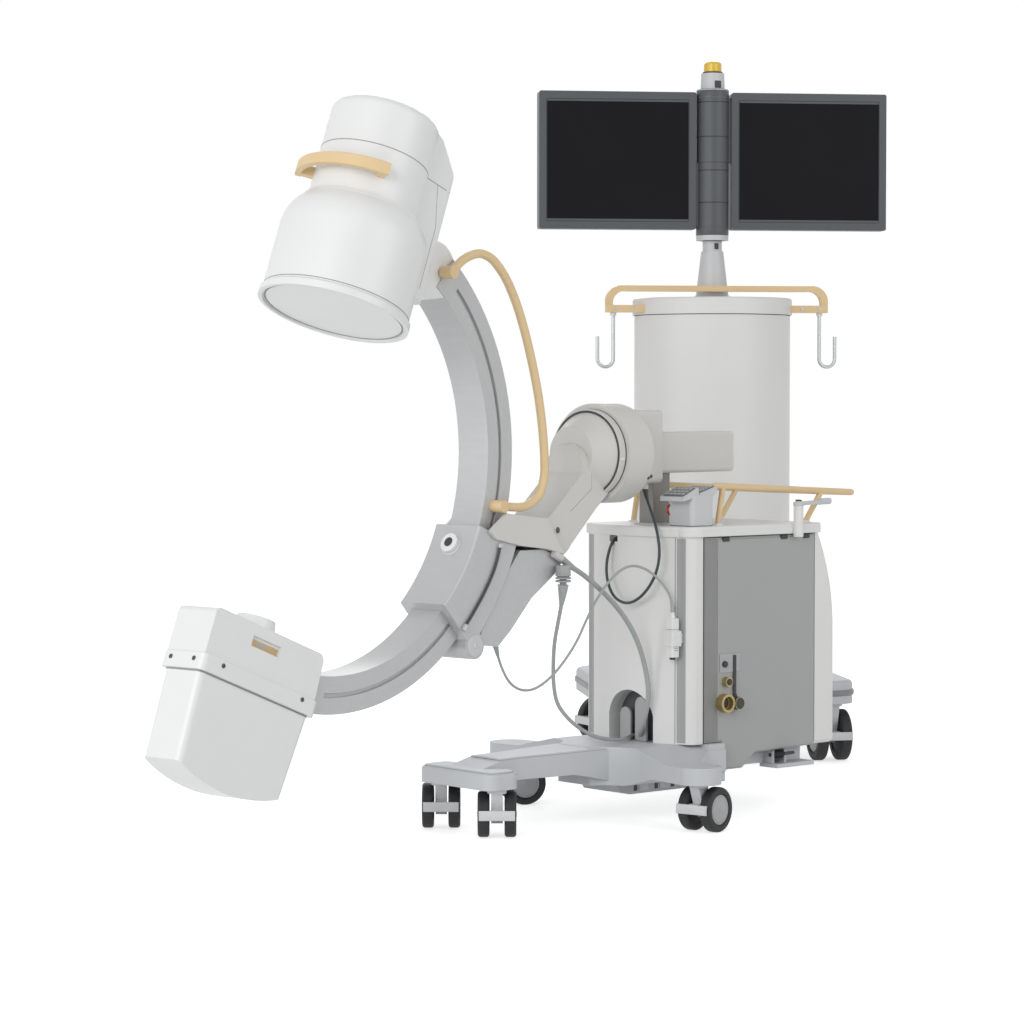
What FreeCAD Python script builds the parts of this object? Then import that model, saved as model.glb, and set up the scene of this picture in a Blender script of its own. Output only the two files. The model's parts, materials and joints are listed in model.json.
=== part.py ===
import FreeCAD, Part
import math
import os
from FreeCAD import Vector as V

# Mobile C-arm x-ray stand with its viewing station, in millimetres.
# Stand frame: X runs to the rear, Y to the far side, Z up from the floor.
# X is 0 near the line of the two outrigger castors, Y is 0 on the stand's middle.
# The finished pieces are moved so that the origin lies under the middle of the whole set.

# middle of the whole set, in the stand frame
SET_X = 68.0
SET_Y = 393.0

# clearances
RUN = 0.05          # radial, a shaft in its bore
SLIDE = 0.4         # each side, a sliding guide
GAP = 0.3           # flat faces of pieces that move past each other

# base casting
STEM_REAR_X = -22.0
STEM_REAR_Y = 328.0
STEM_FRONT_X = -435.0
STEM_FRONT_Y = 99.0
FOOT_HALF = 130.0
FOOT_LENGTH = 92.0
FOOT_TOP = 150.0
CASTOR_HEIGHT = 112.0
BEAM_TOP = 174.0
BEAM_BOTTOM = 120.0
BEAM_HALF_FRONT = 56.0
BEAM_HALF_REAR = 90.0
WING_R = 52.0
WING_TOP = 152.0
DECK_FRONT = 20.0
DECK_REAR = 190.0
DECK_HALF = 205.0
DECK_TOP = 178.0
DECK_BOTTOM = 88.0
TRAY_LOW = 58.0
TRAY_HALF = 64.0

# twin-wheel castors of the stand and of the station
STEM_R = 8.0
STEM_DEPTH = 26.0
AXLE_R = 7.0
STAND_CASTOR = {"wheel_r": 52.0, "wheel_w": 27.0, "apart": 34.0, "trail": 26.0, "plate_r": 22.0}
STATION_CASTOR = {"wheel_r": 70.0, "wheel_w": 30.0, "apart": 36.0, "trail": 34.0, "plate_r": 26.0}
HUB_SHARE = 0.68
HOOD_GAP = 3.0
HOOD_WALL = 4.0

# cabinet
CAB_FRONT = 133.0
CAB_REAR = 515.0
CAB_HALF = 184.0
CAB_TOP = 668.0
PANEL = 6.0
PANEL_LOW = 112.0
PANEL_STEP = 150.0
COVER_FRONT = 52.0
REAR_BULGE = 72.0
DECK_PLATE = 24.0
DECK_OVER = 8.0
PORT_Y0 = -87.0
PORT_Y1 = 59.0
PORT_TOP = 300.0
PORT_DEPTH = 46.0
SLOT_Y = 42.0

# push handle, round bar
RAIL_R = 8.0
RAIL_Z = 786.0
RAIL_FALL = 2.9
RAIL_FRONT = 210.0
RAIL_REAR = 722.0
RAIL_Y = CAB_HALF - 38.0
RAIL_BEND = 60.0
STRUT_R = 7.0

# steering lever on its post
LEVER_X = 440.0
LEVER_Y = -CAB_HALF - 16.0
LEVER_Z = 735.0
LEVER_POST_R = 12.0
LEVER_PIN_R = 6.0
LEVER_THICK = 9.0
LEVER_REACH = 118.0
LEVER_REST = 8.0

# console
CON_FRONT = 86.0
CON_REAR = 196.0
CON_NEAR = 16.0 - CAB_HALF
CON_FAR = CON_NEAR + 82.0
CON_HIGH = 74.0
STOP_R = 14.0
STOP_STALK_R = 6.0
STOP_TRAVEL = 4.0

# hand switch in its clip
SWITCH_X = 66.0
SWITCH_Y = 34.0 - CAB_HALF
SWITCH_LOW = 386.0
SWITCH_HIGH = 478.0
SWITCH_SIDE = 24.0
BUTTON_R = 7.0
BUTTON_TRAVEL = 3.0

# large socket of the near side connectors
SOCK_X = 197.0
SOCK_Z = 272.0
SOCK_R = 16.0

# brake pedal
PEDAL_X = 402.0
PEDAL_Y = 18.0 - CAB_HALF
PEDAL_Z = 132.0
PEDAL_PIN_R = 5.0
PEDAL_WIDE = 34.0
PEDAL_REACH = 40.0

# lift column
COL_X = 150.0
COL_LONG = 56.0
COL_WIDE = 50.0
COL_FOOT = 196.0
GUIDE_WALL = 9.0

# horizontal arm; lengths are from the column's axis along the yawed head
YAW = 8.0
AXIS_Z = 865.0
HEAD_HALF = 52.0
HEAD_HIGH = 49.0
HEAD_FRONT = 50.0
HEAD_BACK = 282.0
BAR_SIDE = 58.0
BAR_TAIL = 215.0
BORE_TAIL = 224.0
SWIVEL_PIN_R = 20.0
SWIVEL_PIN_DEPTH = 24.0

# rotation housing
ROT_R = 117.0
ROT_FRONT = 236.0
ROT_DEPTH = 92.0
ROT_BOX_HALF = 64.0
ROT_BOX_LOW = 72.0
ROT_BOX_TOP = 102.0
ROT_PIN_R = 30.0
ROT_PIN_DEPTH = 40.0
HUB_DISC_R = 104.0
HUB_DISC = 22.0

# arc
ARC_AHEAD = 1124.0
ARC_Z = 877.0
ARC_IN = 470.0
ARC_OUT = 551.0
ARC_HALF = 44.0
ARC_TOP_DEG = 71.3
ARC_LOW_DEG = -79.0
ARC_GROOVE = 10.0
ARC_GROOVE_DEEP = 7.0
TILT = 21.3

# carriage and the angled arm's lower end, as angles seen from the arc's middle
CAR_TOP_DEG = -21.5
CAR_LOW_DEG = -48.0
CAR_IN = ARC_IN - 22.0
CAR_OUT = ARC_OUT + 33.0
CAR_HALF = 66.0
CAR_END_R = 30.0
CAR_EASE = 5.0
L_HALF = 54.0
L_ARCH = 28.0
L_SETBACK = 76.0
L_EASE = 6.0
CHEEK = 9.0
KNOB_DEG = -27.5
KNOB_R = 21.0
KNOB_PIN_R = 8.0
KNOB_HIGH = 12.0

# detector; heights are from its face
BEAM_X = -86.0
FACE_Z = 284.0
FACE_R = 165.0
SKIRT_R = 160.0
SKIRT_HIGH = 166.0
NECK_R = 119.0
NECK_START = 240.0
CAP_SEAM = 352.0
CAP_HIGH = 462.0
CAP_ROUND = 20.0
SPINE_BACK = 183.0
CAP_BREAK = 170.0
CAP_SHOULDER = 108.0
SPINE_HALF = 78.0
SPINE_LOW = 96.0
SPINE_ROUND = 26.0
HANDLE_REACH = 158.0
HANDLE_HIGH = 292.0
HANDLE_THICK = 13.0
HANDLE_TALL = 24.0
HANDLE_FOOT_NEAR = 236.0
HANDLE_FOOT_FAR = 136.0

# x-ray tube housing, in the beam frame
TUBE_FRONT = -232.0
TUBE_BACK = 98.0
TUBE_HALF = 56.0
TUBE_TOP = -415.0
TUBE_SEAM = -549.0
TUBE_LOW = -736.0
TUBE_BELLY = 28.0
TUBE_ROUND = 14.0
TUBE_LIP = 6.0
TUBE_LIP_HIGH = 36.0
DOME_R = 46.0
DOME_X = -68.0
DOME_HIGH = 24.0
RECESS_X = -73.0
RECESS_LONG = 84.0
RECESS_Z = -450.0
RECESS_HIGH = 22.0
RECESS_DEEP = 7.0

# grab bar beside the arc
GRAB_Y = -67.0
GRAB_R = 10.0
GRAB_BOSS_R = 14.0

# cables: radii, and the places of their glands and of the plug
LOOP_R = 3.5
HOSE_R = 6.0
SWITCH_CORD_R = 3.0
PLUG_CORD_R = 4.5
THIN_R = 3.0
LOOP_GLAND_X = -81.0
LOOP_GLAND_Y = -35.0
HOSE_GLAND = (692.0, -70.0, -248.0)
SWITCH_GLAND = (511.0, -30.0, -439.0)
THIN_Y = -70.0
THIN_TOP = (481.0, -216.0)
THIN_END = (368.0, -382.0)
PLUG_X = -272.0
PLUG_Y = -141.0
PLUG_LOW = 570.0
PLUG_TOP = 614.0
PLUG_R = 17.0

# viewing station, in its own frame: front is -Y
ST_X = 1091.0
ST_Y = 753.0
ST_YAW = -34.0
ST_HALF_X = 350.0
ST_HALF_Y = 290.0
ST_BASE_LOW = 162.0
ST_BASE_TOP = 226.0
ST_STEM_INSET = 56.0
ST_R = 222.0
ST_RIM = 1272.0
ST_LID = 46.0
ST_LID_STEP = 5.0
ST_CONE_R0 = 45.0
ST_CONE_R1 = 31.0
ST_CONE_TOP = 1404.0
ST_NECK_R = 27.0
ST_POST_LOW = 1434.0
ST_POST_TOP = 1852.0
ST_POST_R = 45.0
ST_CORE_R = 20.0
ST_LAMP_BASE = 46.0
ST_LAMP_R = 25.0
ST_LAMP_HIGH = 32.0
MON_WIDE = 440.0
MON_HIGH = 380.0
MON_THICK = 46.0
MON_LOW = 1464.0
MON_BEZEL = 20.0
MON_AWAY = 5.0
MON_GLASS = 3.0
MON_RECESS = 5.0
ST_BAR_HALF = 268.0
ST_BAR_Y = -68.0
ST_BAR_HALF_WIDE = 14.0
ST_BAR_HIGH = 34.0
ST_BAR_END = 42.0
HOOK_R = 5.0
HOOK_DROP = 128.0
HOOK_BEND = 22.0
HOOK_TIP = 62.0

pieces = {}


def keep(name, shape):
    """remember one finished piece, in the stand frame"""
    pieces[name] = shape


def block(x0, x1, y0, y1, z0, z1):
    return Part.makeBox(x1 - x0, y1 - y0, z1 - z0, V(x0, y0, z0))


def rod(start, end, radius):
    a = V(*start)
    b = V(*end)
    return Part.makeCylinder(radius, (b - a).Length, a, b - a)


def cone(start, end, r0, r1):
    a = V(*start)
    b = V(*end)
    return Part.makeCone(r0, r1, (b - a).Length, a, b - a)


def outline(points):
    """closed face from points; an entry that is a pair is an arc, its middle and its end"""
    edges = []
    last = points[0]
    for p in points[1:] + [points[0]]:
        if isinstance(p, tuple):
            edges.append(Part.Arc(last, p[0], p[1]).toShape())
            last = p[1]
        else:
            edges.append(Part.LineSegment(last, p).toShape())
            last = p
    return Part.Face(Part.Wire(edges))


def lifted(point, place):
    """a flat point, or a pair of them for an arc, as placed vectors"""
    if isinstance(point[0], tuple):
        return place(point[0]), place(point[1])
    return place(point)


def plan(points, z0, z1):
    """outline in X and Y, raised from z0 to z1"""
    face = outline([lifted(p, lambda q: V(q[0], q[1], z0)) for p in points])
    return face.extrude(V(0, 0, z1 - z0))


def side(points, y0, y1):
    """outline in X and Z, run from y0 to y1"""
    face = outline([lifted(p, lambda q: V(q[0], y0, q[1])) for p in points])
    return face.extrude(V(0, y1 - y0, 0))


def across(points, x0, x1):
    """outline in Y and Z, run from x0 to x1"""
    face = outline([lifted(p, lambda q: V(x0, q[0], q[1])) for p in points])
    return face.extrude(V(x1 - x0, 0, 0))


def turned(points):
    """solid of revolution about Z, from (radius, height) points"""
    face = outline([lifted(p, lambda q: V(q[0], 0, q[1])) for p in points])
    return face.revolve(V(0, 0, 0), V(0, 0, 1), 360)


def lines_along(shape, axis):
    """straight edges of a shape that run along an axis"""
    found = []
    for e in shape.Edges:
        if isinstance(e.Curve, Part.Line) and abs(e.Curve.Direction.dot(axis)) > 0.999:
            found.append(e)
    return found


def edges_at(shape, z):
    """edges that lie wholly at one height"""
    return [e for e in shape.Edges if abs(e.BoundBox.ZMin - z) < 0.01 and abs(e.BoundBox.ZMax - z) < 0.01]


def rounded(shape, radius, axis):
    return shape.makeFillet(radius, lines_along(shape, axis))


def soft_block(x0, x1, y0, y1, z0, z1, radius, top=0.0):
    """block with upright edges rounded and, where top is given, its top edge eased"""
    s = rounded(block(x0, x1, y0, y1, z0, z1), radius, V(0, 0, 1))
    if top:
        s = s.makeFillet(top, edges_at(s, z1))
    return s


def joined(shapes):
    return shapes[0].fuse(shapes[1:]).removeSplitter()


def turn(shape, deg, axis=V(0, 0, 1)):
    s = shape.copy()
    s.rotate(V(0, 0, 0), axis, deg)
    return s


def move(shape, x, y, z=0.0):
    s = shape.copy()
    s.translate(V(x, y, z))
    return s


def mirrored(shape):
    """the same form on the other side of Y = 0"""
    return shape.mirror(V(0, 0, 0), V(0, 1, 0))


def sector(r0, r1, half, deg0, deg1):
    """block between two radii and two angles round Y, the angle counted from X towards Z"""
    face = outline([V(r0, -half, 0), V(r1, -half, 0), V(r1, half, 0), V(r0, half, 0)])
    face.rotate(V(0, 0, 0), V(0, 1, 0), -deg0)
    return face.revolve(V(0, 0, 0), V(0, 1, 0), deg0 - deg1)


def round_arc(radius, point):
    """(distance outside a radius, degrees) as a flat point round the arc's middle; a pair stays an arc"""
    if isinstance(point[0], tuple):
        return round_arc(radius, point[0]), round_arc(radius, point[1])
    at = math.radians(point[1])
    return (radius + point[0]) * math.cos(at), (radius + point[0]) * math.sin(at)


def outside_carriage(points):
    return [round_arc(CAR_OUT, p) for p in points]


def tube_path(points, radius, label):
    """round tube along straight runs joined by tangent arcs, each as large as its runs allow"""
    pts = [V(*p) for p in points]
    edges = []
    radii = []
    start = pts[0]
    for before, corner, after in zip(pts, pts[1:], pts[2:]):
        a = before - corner
        b = after - corner
        cut = 0.45 * min(a.Length, b.Length)
        a.normalize()
        b.normalize()
        half_turn = (math.pi - a.getAngle(b)) / 2
        bend = cut / math.tan(half_turn)
        radii.append(bend)
        to_middle = a + b
        to_middle.normalize()
        depth = bend / math.cos(half_turn) - bend
        edges.append(Part.LineSegment(start, corner + a * cut).toShape())
        edges.append(Part.Arc(corner + a * cut, corner + to_middle * depth, corner + b * cut).toShape())
        start = corner + b * cut
    edges.append(Part.LineSegment(start, pts[-1]).toShape())
    path = Part.Wire(edges)
    ring = Part.Wire([Part.makeCircle(radius, pts[0], pts[1] - pts[0])])
    solid = path.makePipeShell([ring], True, False)
    share = solid.Volume / (math.pi * radius * radius * path.Length)
    print(label, "length %.0f, volume ratio %.4f, radii" % (path.Length, share), [round(r) for r in radii])
    return solid


def hub_radius(size):
    return size["wheel_r"] * HUB_SHARE


def castor_fork(size, top):
    """swivel plate, stem, raked neck, axle and the hood band in front of the wheels"""
    r = size["wheel_r"]
    trail = size["trail"]
    neck_half = size["apart"] / 2 - 4.0
    reach = size["apart"] / 2 + size["wheel_w"] - 3.0
    plate = rod((0, 0, top - 9), (0, 0, top - GAP), size["plate_r"])
    stem = rod((0, 0, top - 12), (0, 0, top + STEM_DEPTH), STEM_R)
    neck = side([(-18, top - 9), (18, top - 9), (trail + 15, r + 6),
                 ((trail + 15, r - 15), (trail - 15, r - 9)), (trail - 26, r + 4)], -neck_half, neck_half)
    axle = rod((trail, -reach, r), (trail, reach, r), AXLE_R)
    outer = rod((trail, -reach, r), (trail, reach, r), r + HOOD_GAP + HOOD_WALL)
    inner = rod((trail, -reach - 1, r), (trail, reach + 1, r), r + HOOD_GAP)
    band = block(trail - r - 20, trail - r / 2, -reach - 1, reach + 1, r - 8, r + 14)
    hood = outer.cut(inner).common(band)
    web = block(trail - r - HOOD_GAP - 1, trail - 12, -neck_half, neck_half, r - 8, r + 14)
    return joined([plate, stem, neck, axle, hood, web])


def castor_wheels(size):
    """the pair of wheels: rounded tyres on dished hubs"""
    r = size["wheel_r"]
    w = size["wheel_w"]
    hub = hub_radius(size)
    wheel = turned([(AXLE_R + RUN, 3), (hub, 3), (hub + 3, 0), (r - 7, 0), ((r - 2, 2), (r, 7)), (r, w - 7),
                    ((r - 2, w - 2), (r - 7, w)), (hub + 3, w), (hub, w - 4), (AXLE_R + RUN, w - 1)])
    near = move(turn(wheel, 90, V(1, 0, 0)), size["trail"], -size["apart"] / 2, r)
    far = move(turn(wheel, -90, V(1, 0, 0)), size["trail"], size["apart"] / 2, r)
    return Part.makeCompound([near, far])


def castor(name, x, y, top, heading, size):
    keep(name + "_fork", move(turn(castor_fork(size, top), heading), x, y))
    keep(name + "_wheels", move(turn(castor_wheels(size), heading), x, y))


def stems():
    """stem places of the stand's castors: front far, front near, rear near, rear far"""
    return [(STEM_FRONT_X, STEM_FRONT_Y), (STEM_FRONT_X, -STEM_FRONT_Y),
            (STEM_REAR_X, -STEM_REAR_Y), (STEM_REAR_X, STEM_REAR_Y)]


def stand_castors():
    names = ["castor_front_far", "castor_front_near", "castor_rear_near", "castor_rear_far"]
    headings = [49.0, 49.0, 12.0, -25.0]
    for name, (x, y), heading in zip(names, stems(), headings):
        castor(name, x, y, CASTOR_HEIGHT, heading, STAND_CASTOR)


def stem_bores(places, top):
    return [rod((x, y, top - 30), (x, y, top + STEM_DEPTH + 1), STEM_R + RUN) for x, y in places]


def outrigger():
    """far outrigger: swept in plan, falling towards its castor, with a round end"""
    tip = STEM_REAR_Y
    swept = plan([(DECK_FRONT - 130, BEAM_HALF_FRONT), ((DECK_FRONT - 78, 104), (DECK_FRONT - 68, 160)),
                  (STEM_REAR_X - WING_R, tip), ((STEM_REAR_X, tip + WING_R), (STEM_REAR_X + WING_R, tip)),
                  (STEM_REAR_X + WING_R + 8, tip - 60), (DECK_REAR - 60, DECK_HALF), (DECK_REAR, DECK_HALF),
                  (DECK_REAR, 0), (DECK_FRONT - 130, 0)], DECK_BOTTOM, DECK_TOP)
    fall = across([(0, DECK_TOP), (DECK_HALF - 60, DECK_TOP), (tip - WING_R - 20, WING_TOP),
                   (tip + WING_R + 2, WING_TOP), (tip + WING_R + 2, CASTOR_HEIGHT), (DECK_HALF, CASTOR_HEIGHT),
                   (DECK_HALF - 90, DECK_BOTTOM), (0, DECK_BOTTOM)], STEM_FRONT_X, CAB_REAR)
    return swept.common(fall)


def base_casting():
    """cast T: cross foot in front, rising central beam, two swept outriggers and the cabinet's deck"""
    foot_front = STEM_FRONT_X - FOOT_LENGTH / 2
    foot_rear = STEM_FRONT_X + FOOT_LENGTH / 2
    foot = soft_block(foot_front, foot_rear, -FOOT_HALF, FOOT_HALF, CASTOR_HEIGHT, FOOT_TOP, 26.0, 8.0)
    beam = plan([(foot_front + 20, -BEAM_HALF_FRONT), (foot_rear + 60, -BEAM_HALF_FRONT),
                 (DECK_FRONT, -BEAM_HALF_REAR), (DECK_FRONT, BEAM_HALF_REAR),
                 (foot_rear + 60, BEAM_HALF_FRONT), (foot_front + 20, BEAM_HALF_FRONT)], DECK_BOTTOM, BEAM_TOP)
    rise = side([(foot_front + 20, FOOT_TOP - 2), (foot_rear + 4, BEAM_TOP - 6), (DECK_FRONT, BEAM_TOP),
                 (DECK_FRONT, DECK_BOTTOM), (DECK_FRONT - 40, DECK_BOTTOM), (DECK_FRONT - 190, BEAM_BOTTOM),
                 (foot_front + 20, BEAM_BOTTOM)], -FOOT_HALF, FOOT_HALF)
    far = outrigger()
    deck = block(CAB_FRONT + 2, DECK_REAR, 4 - DECK_HALF, DECK_HALF - 4, DECK_BOTTOM, DECK_TOP)
    rear_deck = block(DECK_REAR - 1, CAB_REAR - 8, 40 - CAB_HALF, CAB_HALF - 40, DECK_BOTTOM + 24, DECK_TOP)
    tray = side([(-40, DECK_BOTTOM + 2), (-20, TRAY_LOW + 6), (10, TRAY_LOW), (CAB_FRONT + 60, TRAY_LOW),
                 (CAB_FRONT + 120, TRAY_LOW + 16), (CAB_FRONT + 120, DECK_BOTTOM + 26)], -TRAY_HALF, TRAY_HALF)
    bracket = block(PEDAL_X - 26, CAB_REAR - 10, PEDAL_Y - 26, 50 - CAB_HALF,
                    DECK_BOTTOM + 14, DECK_BOTTOM + 24)
    ears = []
    for x in (PEDAL_X - PEDAL_WIDE / 2 - 6, PEDAL_X + PEDAL_WIDE / 2 + GAP):
        ears.append(block(x, x + 6 - GAP, PEDAL_Y - 9, 46 - CAB_HALF, DECK_BOTTOM + 20, PEDAL_Z + 12))
    casting = joined([foot, beam.common(rise), far, mirrored(far), deck, rear_deck, tray, bracket] + ears)
    pedal_bore = rod((PEDAL_X - PEDAL_WIDE, PEDAL_Y, PEDAL_Z), (PEDAL_X + PEDAL_WIDE, PEDAL_Y, PEDAL_Z),
                     PEDAL_PIN_R + RUN)
    keep("base_casting", casting.cut(stem_bores(stems(), CASTOR_HEIGHT) + [pedal_bore]))


def brake_pedal():
    """rocking pedal on its own shaft in the bracket's ears, with a ribbed tread"""
    half = PEDAL_WIDE / 2 - GAP
    ends = PEDAL_WIDE / 2 + 6
    shaft = rod((PEDAL_X - ends, PEDAL_Y, PEDAL_Z), (PEDAL_X + ends, PEDAL_Y, PEDAL_Z), PEDAL_PIN_R)
    barrel = rod((PEDAL_X - half, PEDAL_Y, PEDAL_Z), (PEDAL_X + half, PEDAL_Y, PEDAL_Z), 9.0)
    tread = across([(PEDAL_Y, PEDAL_Z + 3), (PEDAL_Y - PEDAL_REACH, PEDAL_Z + 11),
                    ((PEDAL_Y - PEDAL_REACH - 4, PEDAL_Z + 7), (PEDAL_Y - PEDAL_REACH, PEDAL_Z + 3)),
                    (PEDAL_Y, PEDAL_Z - 6)], PEDAL_X - half, PEDAL_X + half)
    keep("brake_pedal", joined([barrel, shaft, tread]))


def guide_half():
    """half lengths of the column guide's outside, along X and Y"""
    return COL_LONG / 2 + GUIDE_WALL, COL_WIDE / 2 + GUIDE_WALL


def column_space(z0, z1):
    """clear space for the lift column"""
    long_half = COL_LONG / 2 + SLIDE
    wide_half = COL_WIDE / 2 + SLIDE
    return block(COL_X - long_half, COL_X + long_half, -wide_half, wide_half, z0, z1)


def cabinet_frame():
    """inner frame with the column guide standing out of its front"""
    gx, gy = guide_half()
    frame = block(CAB_FRONT, CAB_REAR, PANEL - CAB_HALF, CAB_HALF - PANEL, DECK_TOP, CAB_TOP)
    guide = block(COL_X - gx, COL_X + gx, -gy, gy, DECK_TOP, CAB_TOP)
    keep("cabinet_frame", joined([frame, guide]).cut(column_space(COL_FOOT - 10, CAB_TOP + 1)))


def front_cover():
    """moulded cover that bulges round the column guide, with cable port, slot and switch clip"""
    gx, gy = guide_half()
    front = plan([(CAB_FRONT, -CAB_HALF), (CAB_FRONT - 22, -CAB_HALF), ((CAB_FRONT - 38, 10 - CAB_HALF),
                  (CAB_FRONT - 44, 28 - CAB_HALF)), ((COVER_FRONT, 0), (CAB_FRONT - 44, CAB_HALF - 28)),
                  ((CAB_FRONT - 38, CAB_HALF - 10), (CAB_FRONT - 22, CAB_HALF)), (CAB_FRONT, CAB_HALF)],
                 DECK_TOP, CAB_TOP)
    pocket = block(COL_X - gx - GAP, CAB_FRONT + 1, -gy - GAP, gy + GAP, DECK_TOP - 1, CAB_TOP + 1)
    middle = (PORT_Y0 + PORT_Y1) / 2
    spring = PORT_TOP - 60
    port = across([(PORT_Y0, DECK_TOP - 1), (PORT_Y0, spring), ((middle, PORT_TOP), (PORT_Y1, spring)),
                   (PORT_Y1, DECK_TOP - 1)], COVER_FRONT - 5, COVER_FRONT + PORT_DEPTH)
    slot = block(COVER_FRONT - 5, COVER_FRONT + 22, SLOT_Y - 16, SLOT_Y + 16, CAB_TOP - 16, CAB_TOP + 1)
    half = SWITCH_SIDE / 2 + GAP
    clip_x = SWITCH_X + half + 4
    clip = soft_block(SWITCH_X - half - 4, clip_x, SWITCH_Y - half - 4, SWITCH_Y + half + 4,
                      SWITCH_LOW + 26, SWITCH_LOW + 62, 5.0)
    arm = block(clip_x - 3, CAB_FRONT - 20, SWITCH_Y - 10, SWITCH_Y + 10, SWITCH_LOW + 32, SWITCH_LOW + 56)
    hold = block(SWITCH_X - half, SWITCH_X + half, SWITCH_Y - half, SWITCH_Y + half, SWITCH_LOW, SWITCH_HIGH)
    cover = front.cut([pocket, port, slot])
    keep("front_cover", joined([cover, clip, arm]).cut(hold))


def side_panels():
    """two side panels with a stepped lower edge"""
    points = [(CAB_FRONT + 2, DECK_TOP + 2), (CAB_FRONT + 2, CAB_TOP - 3), (CAB_REAR - 2, CAB_TOP - 3),
              (CAB_REAR - 2, PANEL_STEP), (CAB_FRONT + 175, PANEL_STEP - 4), (CAB_FRONT + 130, PANEL_LOW),
              (DECK_REAR + 3, PANEL_LOW), (DECK_REAR + 3, DECK_TOP + 2)]
    keep("side_panel_near", side(points, -CAB_HALF, PANEL - CAB_HALF))
    keep("side_panel_far", side(points, CAB_HALF - PANEL, CAB_HALF))


def rear_cover():
    """bulged rear cover, falling away towards the top"""
    bulge = CAB_REAR + REAR_BULGE
    shape = side([(CAB_REAR, PANEL_STEP), (bulge - 14, PANEL_STEP),
                  ((bulge - 4, PANEL_STEP + 4), (bulge, PANEL_STEP + 14)), (bulge, 430),
                  ((bulge - 16, 560), (CAB_REAR + 16, CAB_TOP)), (CAB_REAR, CAB_TOP)], -CAB_HALF, CAB_HALF)
    upright = [e for e in shape.Edges
               if e.BoundBox.XMin > CAB_REAR + 10 and e.BoundBox.YMax - e.BoundBox.YMin < 1]
    keep("rear_cover", shape.makeFillet(12.0, upright))


def top_deck():
    """top slab with a rounded front, the column's opening and the lever's post"""
    top = CAB_TOP + DECK_PLATE
    edge = CAB_HALF + DECK_OVER
    slab = plan([(CAB_FRONT, -edge), ((CAB_FRONT - 42, 14 - edge), (CAB_FRONT - 52, 40 - edge)),
                 ((COVER_FRONT - DECK_OVER, 0), (CAB_FRONT - 52, edge - 40)),
                 ((CAB_FRONT - 42, edge - 14), (CAB_FRONT, edge)),
                 (CAB_REAR, edge), ((CAB_REAR + 20, edge - 8), (CAB_REAR + 28, edge - 28)),
                 (CAB_REAR + 28, 28 - edge), ((CAB_REAR + 20, 8 - edge), (CAB_REAR, -edge))], CAB_TOP, top)
    slab = slab.makeFillet(6.0, edges_at(slab, top))
    post = rod((LEVER_X, LEVER_Y, CAB_TOP - 8), (LEVER_X, LEVER_Y, LEVER_Z), LEVER_POST_R)
    pin = rod((LEVER_X, LEVER_Y, LEVER_Z - 1), (LEVER_X, LEVER_Y, LEVER_Z + LEVER_THICK + 3), LEVER_PIN_R)
    clear = block(LEVER_X - 30, LEVER_X + 30, -CAB_HALF - 0.5, -CAB_HALF + 30, CAB_TOP - 20, CAB_TOP)
    keep("top_deck", joined([slab, post.cut(clear), pin]).cut(column_space(CAB_TOP - 1, top + 1)))


def steering_lever():
    """flat lever with a round grip, turning on the post's pin"""
    hub = rod((0, 0, 0), (0, 0, LEVER_THICK), 13.0)
    arm = side([(0, 0), (LEVER_REACH, 3), (LEVER_REACH, 12), (0, LEVER_THICK)], -7.0, 7.0)
    grip = rod((LEVER_REACH - 34, 0, 8), (LEVER_REACH + 10, 0, 8), 8.0)
    bore = rod((0, 0, -1), (0, 0, LEVER_THICK + 1), LEVER_PIN_R + RUN)
    lever = joined([hub, arm, grip]).cut(bore)
    keep("steering_lever", move(turn(lever, LEVER_REST), LEVER_X, LEVER_Y, LEVER_Z + GAP))


def push_handle():
    """U of round bar on four sloping struts that stand on the deck, reaching past the rear"""
    straight = RAIL_REAR - RAIL_BEND
    inner = RAIL_Y - RAIL_BEND
    mid = RAIL_BEND * math.sqrt(0.5)

    def level(x, y):
        return V(x, y, RAIL_Z)

    path = [Part.LineSegment(level(RAIL_FRONT, -RAIL_Y), level(straight, -RAIL_Y)),
            Part.Arc(level(straight, -RAIL_Y), level(straight + mid, -inner - mid), level(RAIL_REAR, -inner)),
            Part.LineSegment(level(RAIL_REAR, -inner), level(RAIL_REAR, inner)),
            Part.Arc(level(RAIL_REAR, inner), level(straight + mid, inner + mid), level(straight, RAIL_Y)),
            Part.LineSegment(level(straight, RAIL_Y), level(RAIL_FRONT, RAIL_Y))]
    ring = Part.Wire([Part.makeCircle(RAIL_R, level(RAIL_FRONT, -RAIL_Y), V(1, 0, 0))])
    bar = Part.Wire([p.toShape() for p in path]).makePipeShell([ring], True, False)
    bar.rotate(V(RAIL_FRONT, 0, RAIL_Z), V(0, 1, 0), RAIL_FALL)
    parts = [bar]
    for y in (-RAIL_Y, RAIL_Y):
        parts.append(Part.makeSphere(RAIL_R, V(RAIL_FRONT, y, RAIL_Z)))
        for foot, lean in ((CAB_FRONT + 85, 18.0), (CAB_REAR + 5, 58.0)):
            high = RAIL_Z - (foot + lean - RAIL_FRONT) * math.tan(math.radians(RAIL_FALL))
            parts.append(rod((foot, y, CAB_TOP + DECK_PLATE), (foot + lean, y, high), STRUT_R))
    keep("push_handle", joined(parts).cut(pieces["top_deck"]))


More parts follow.
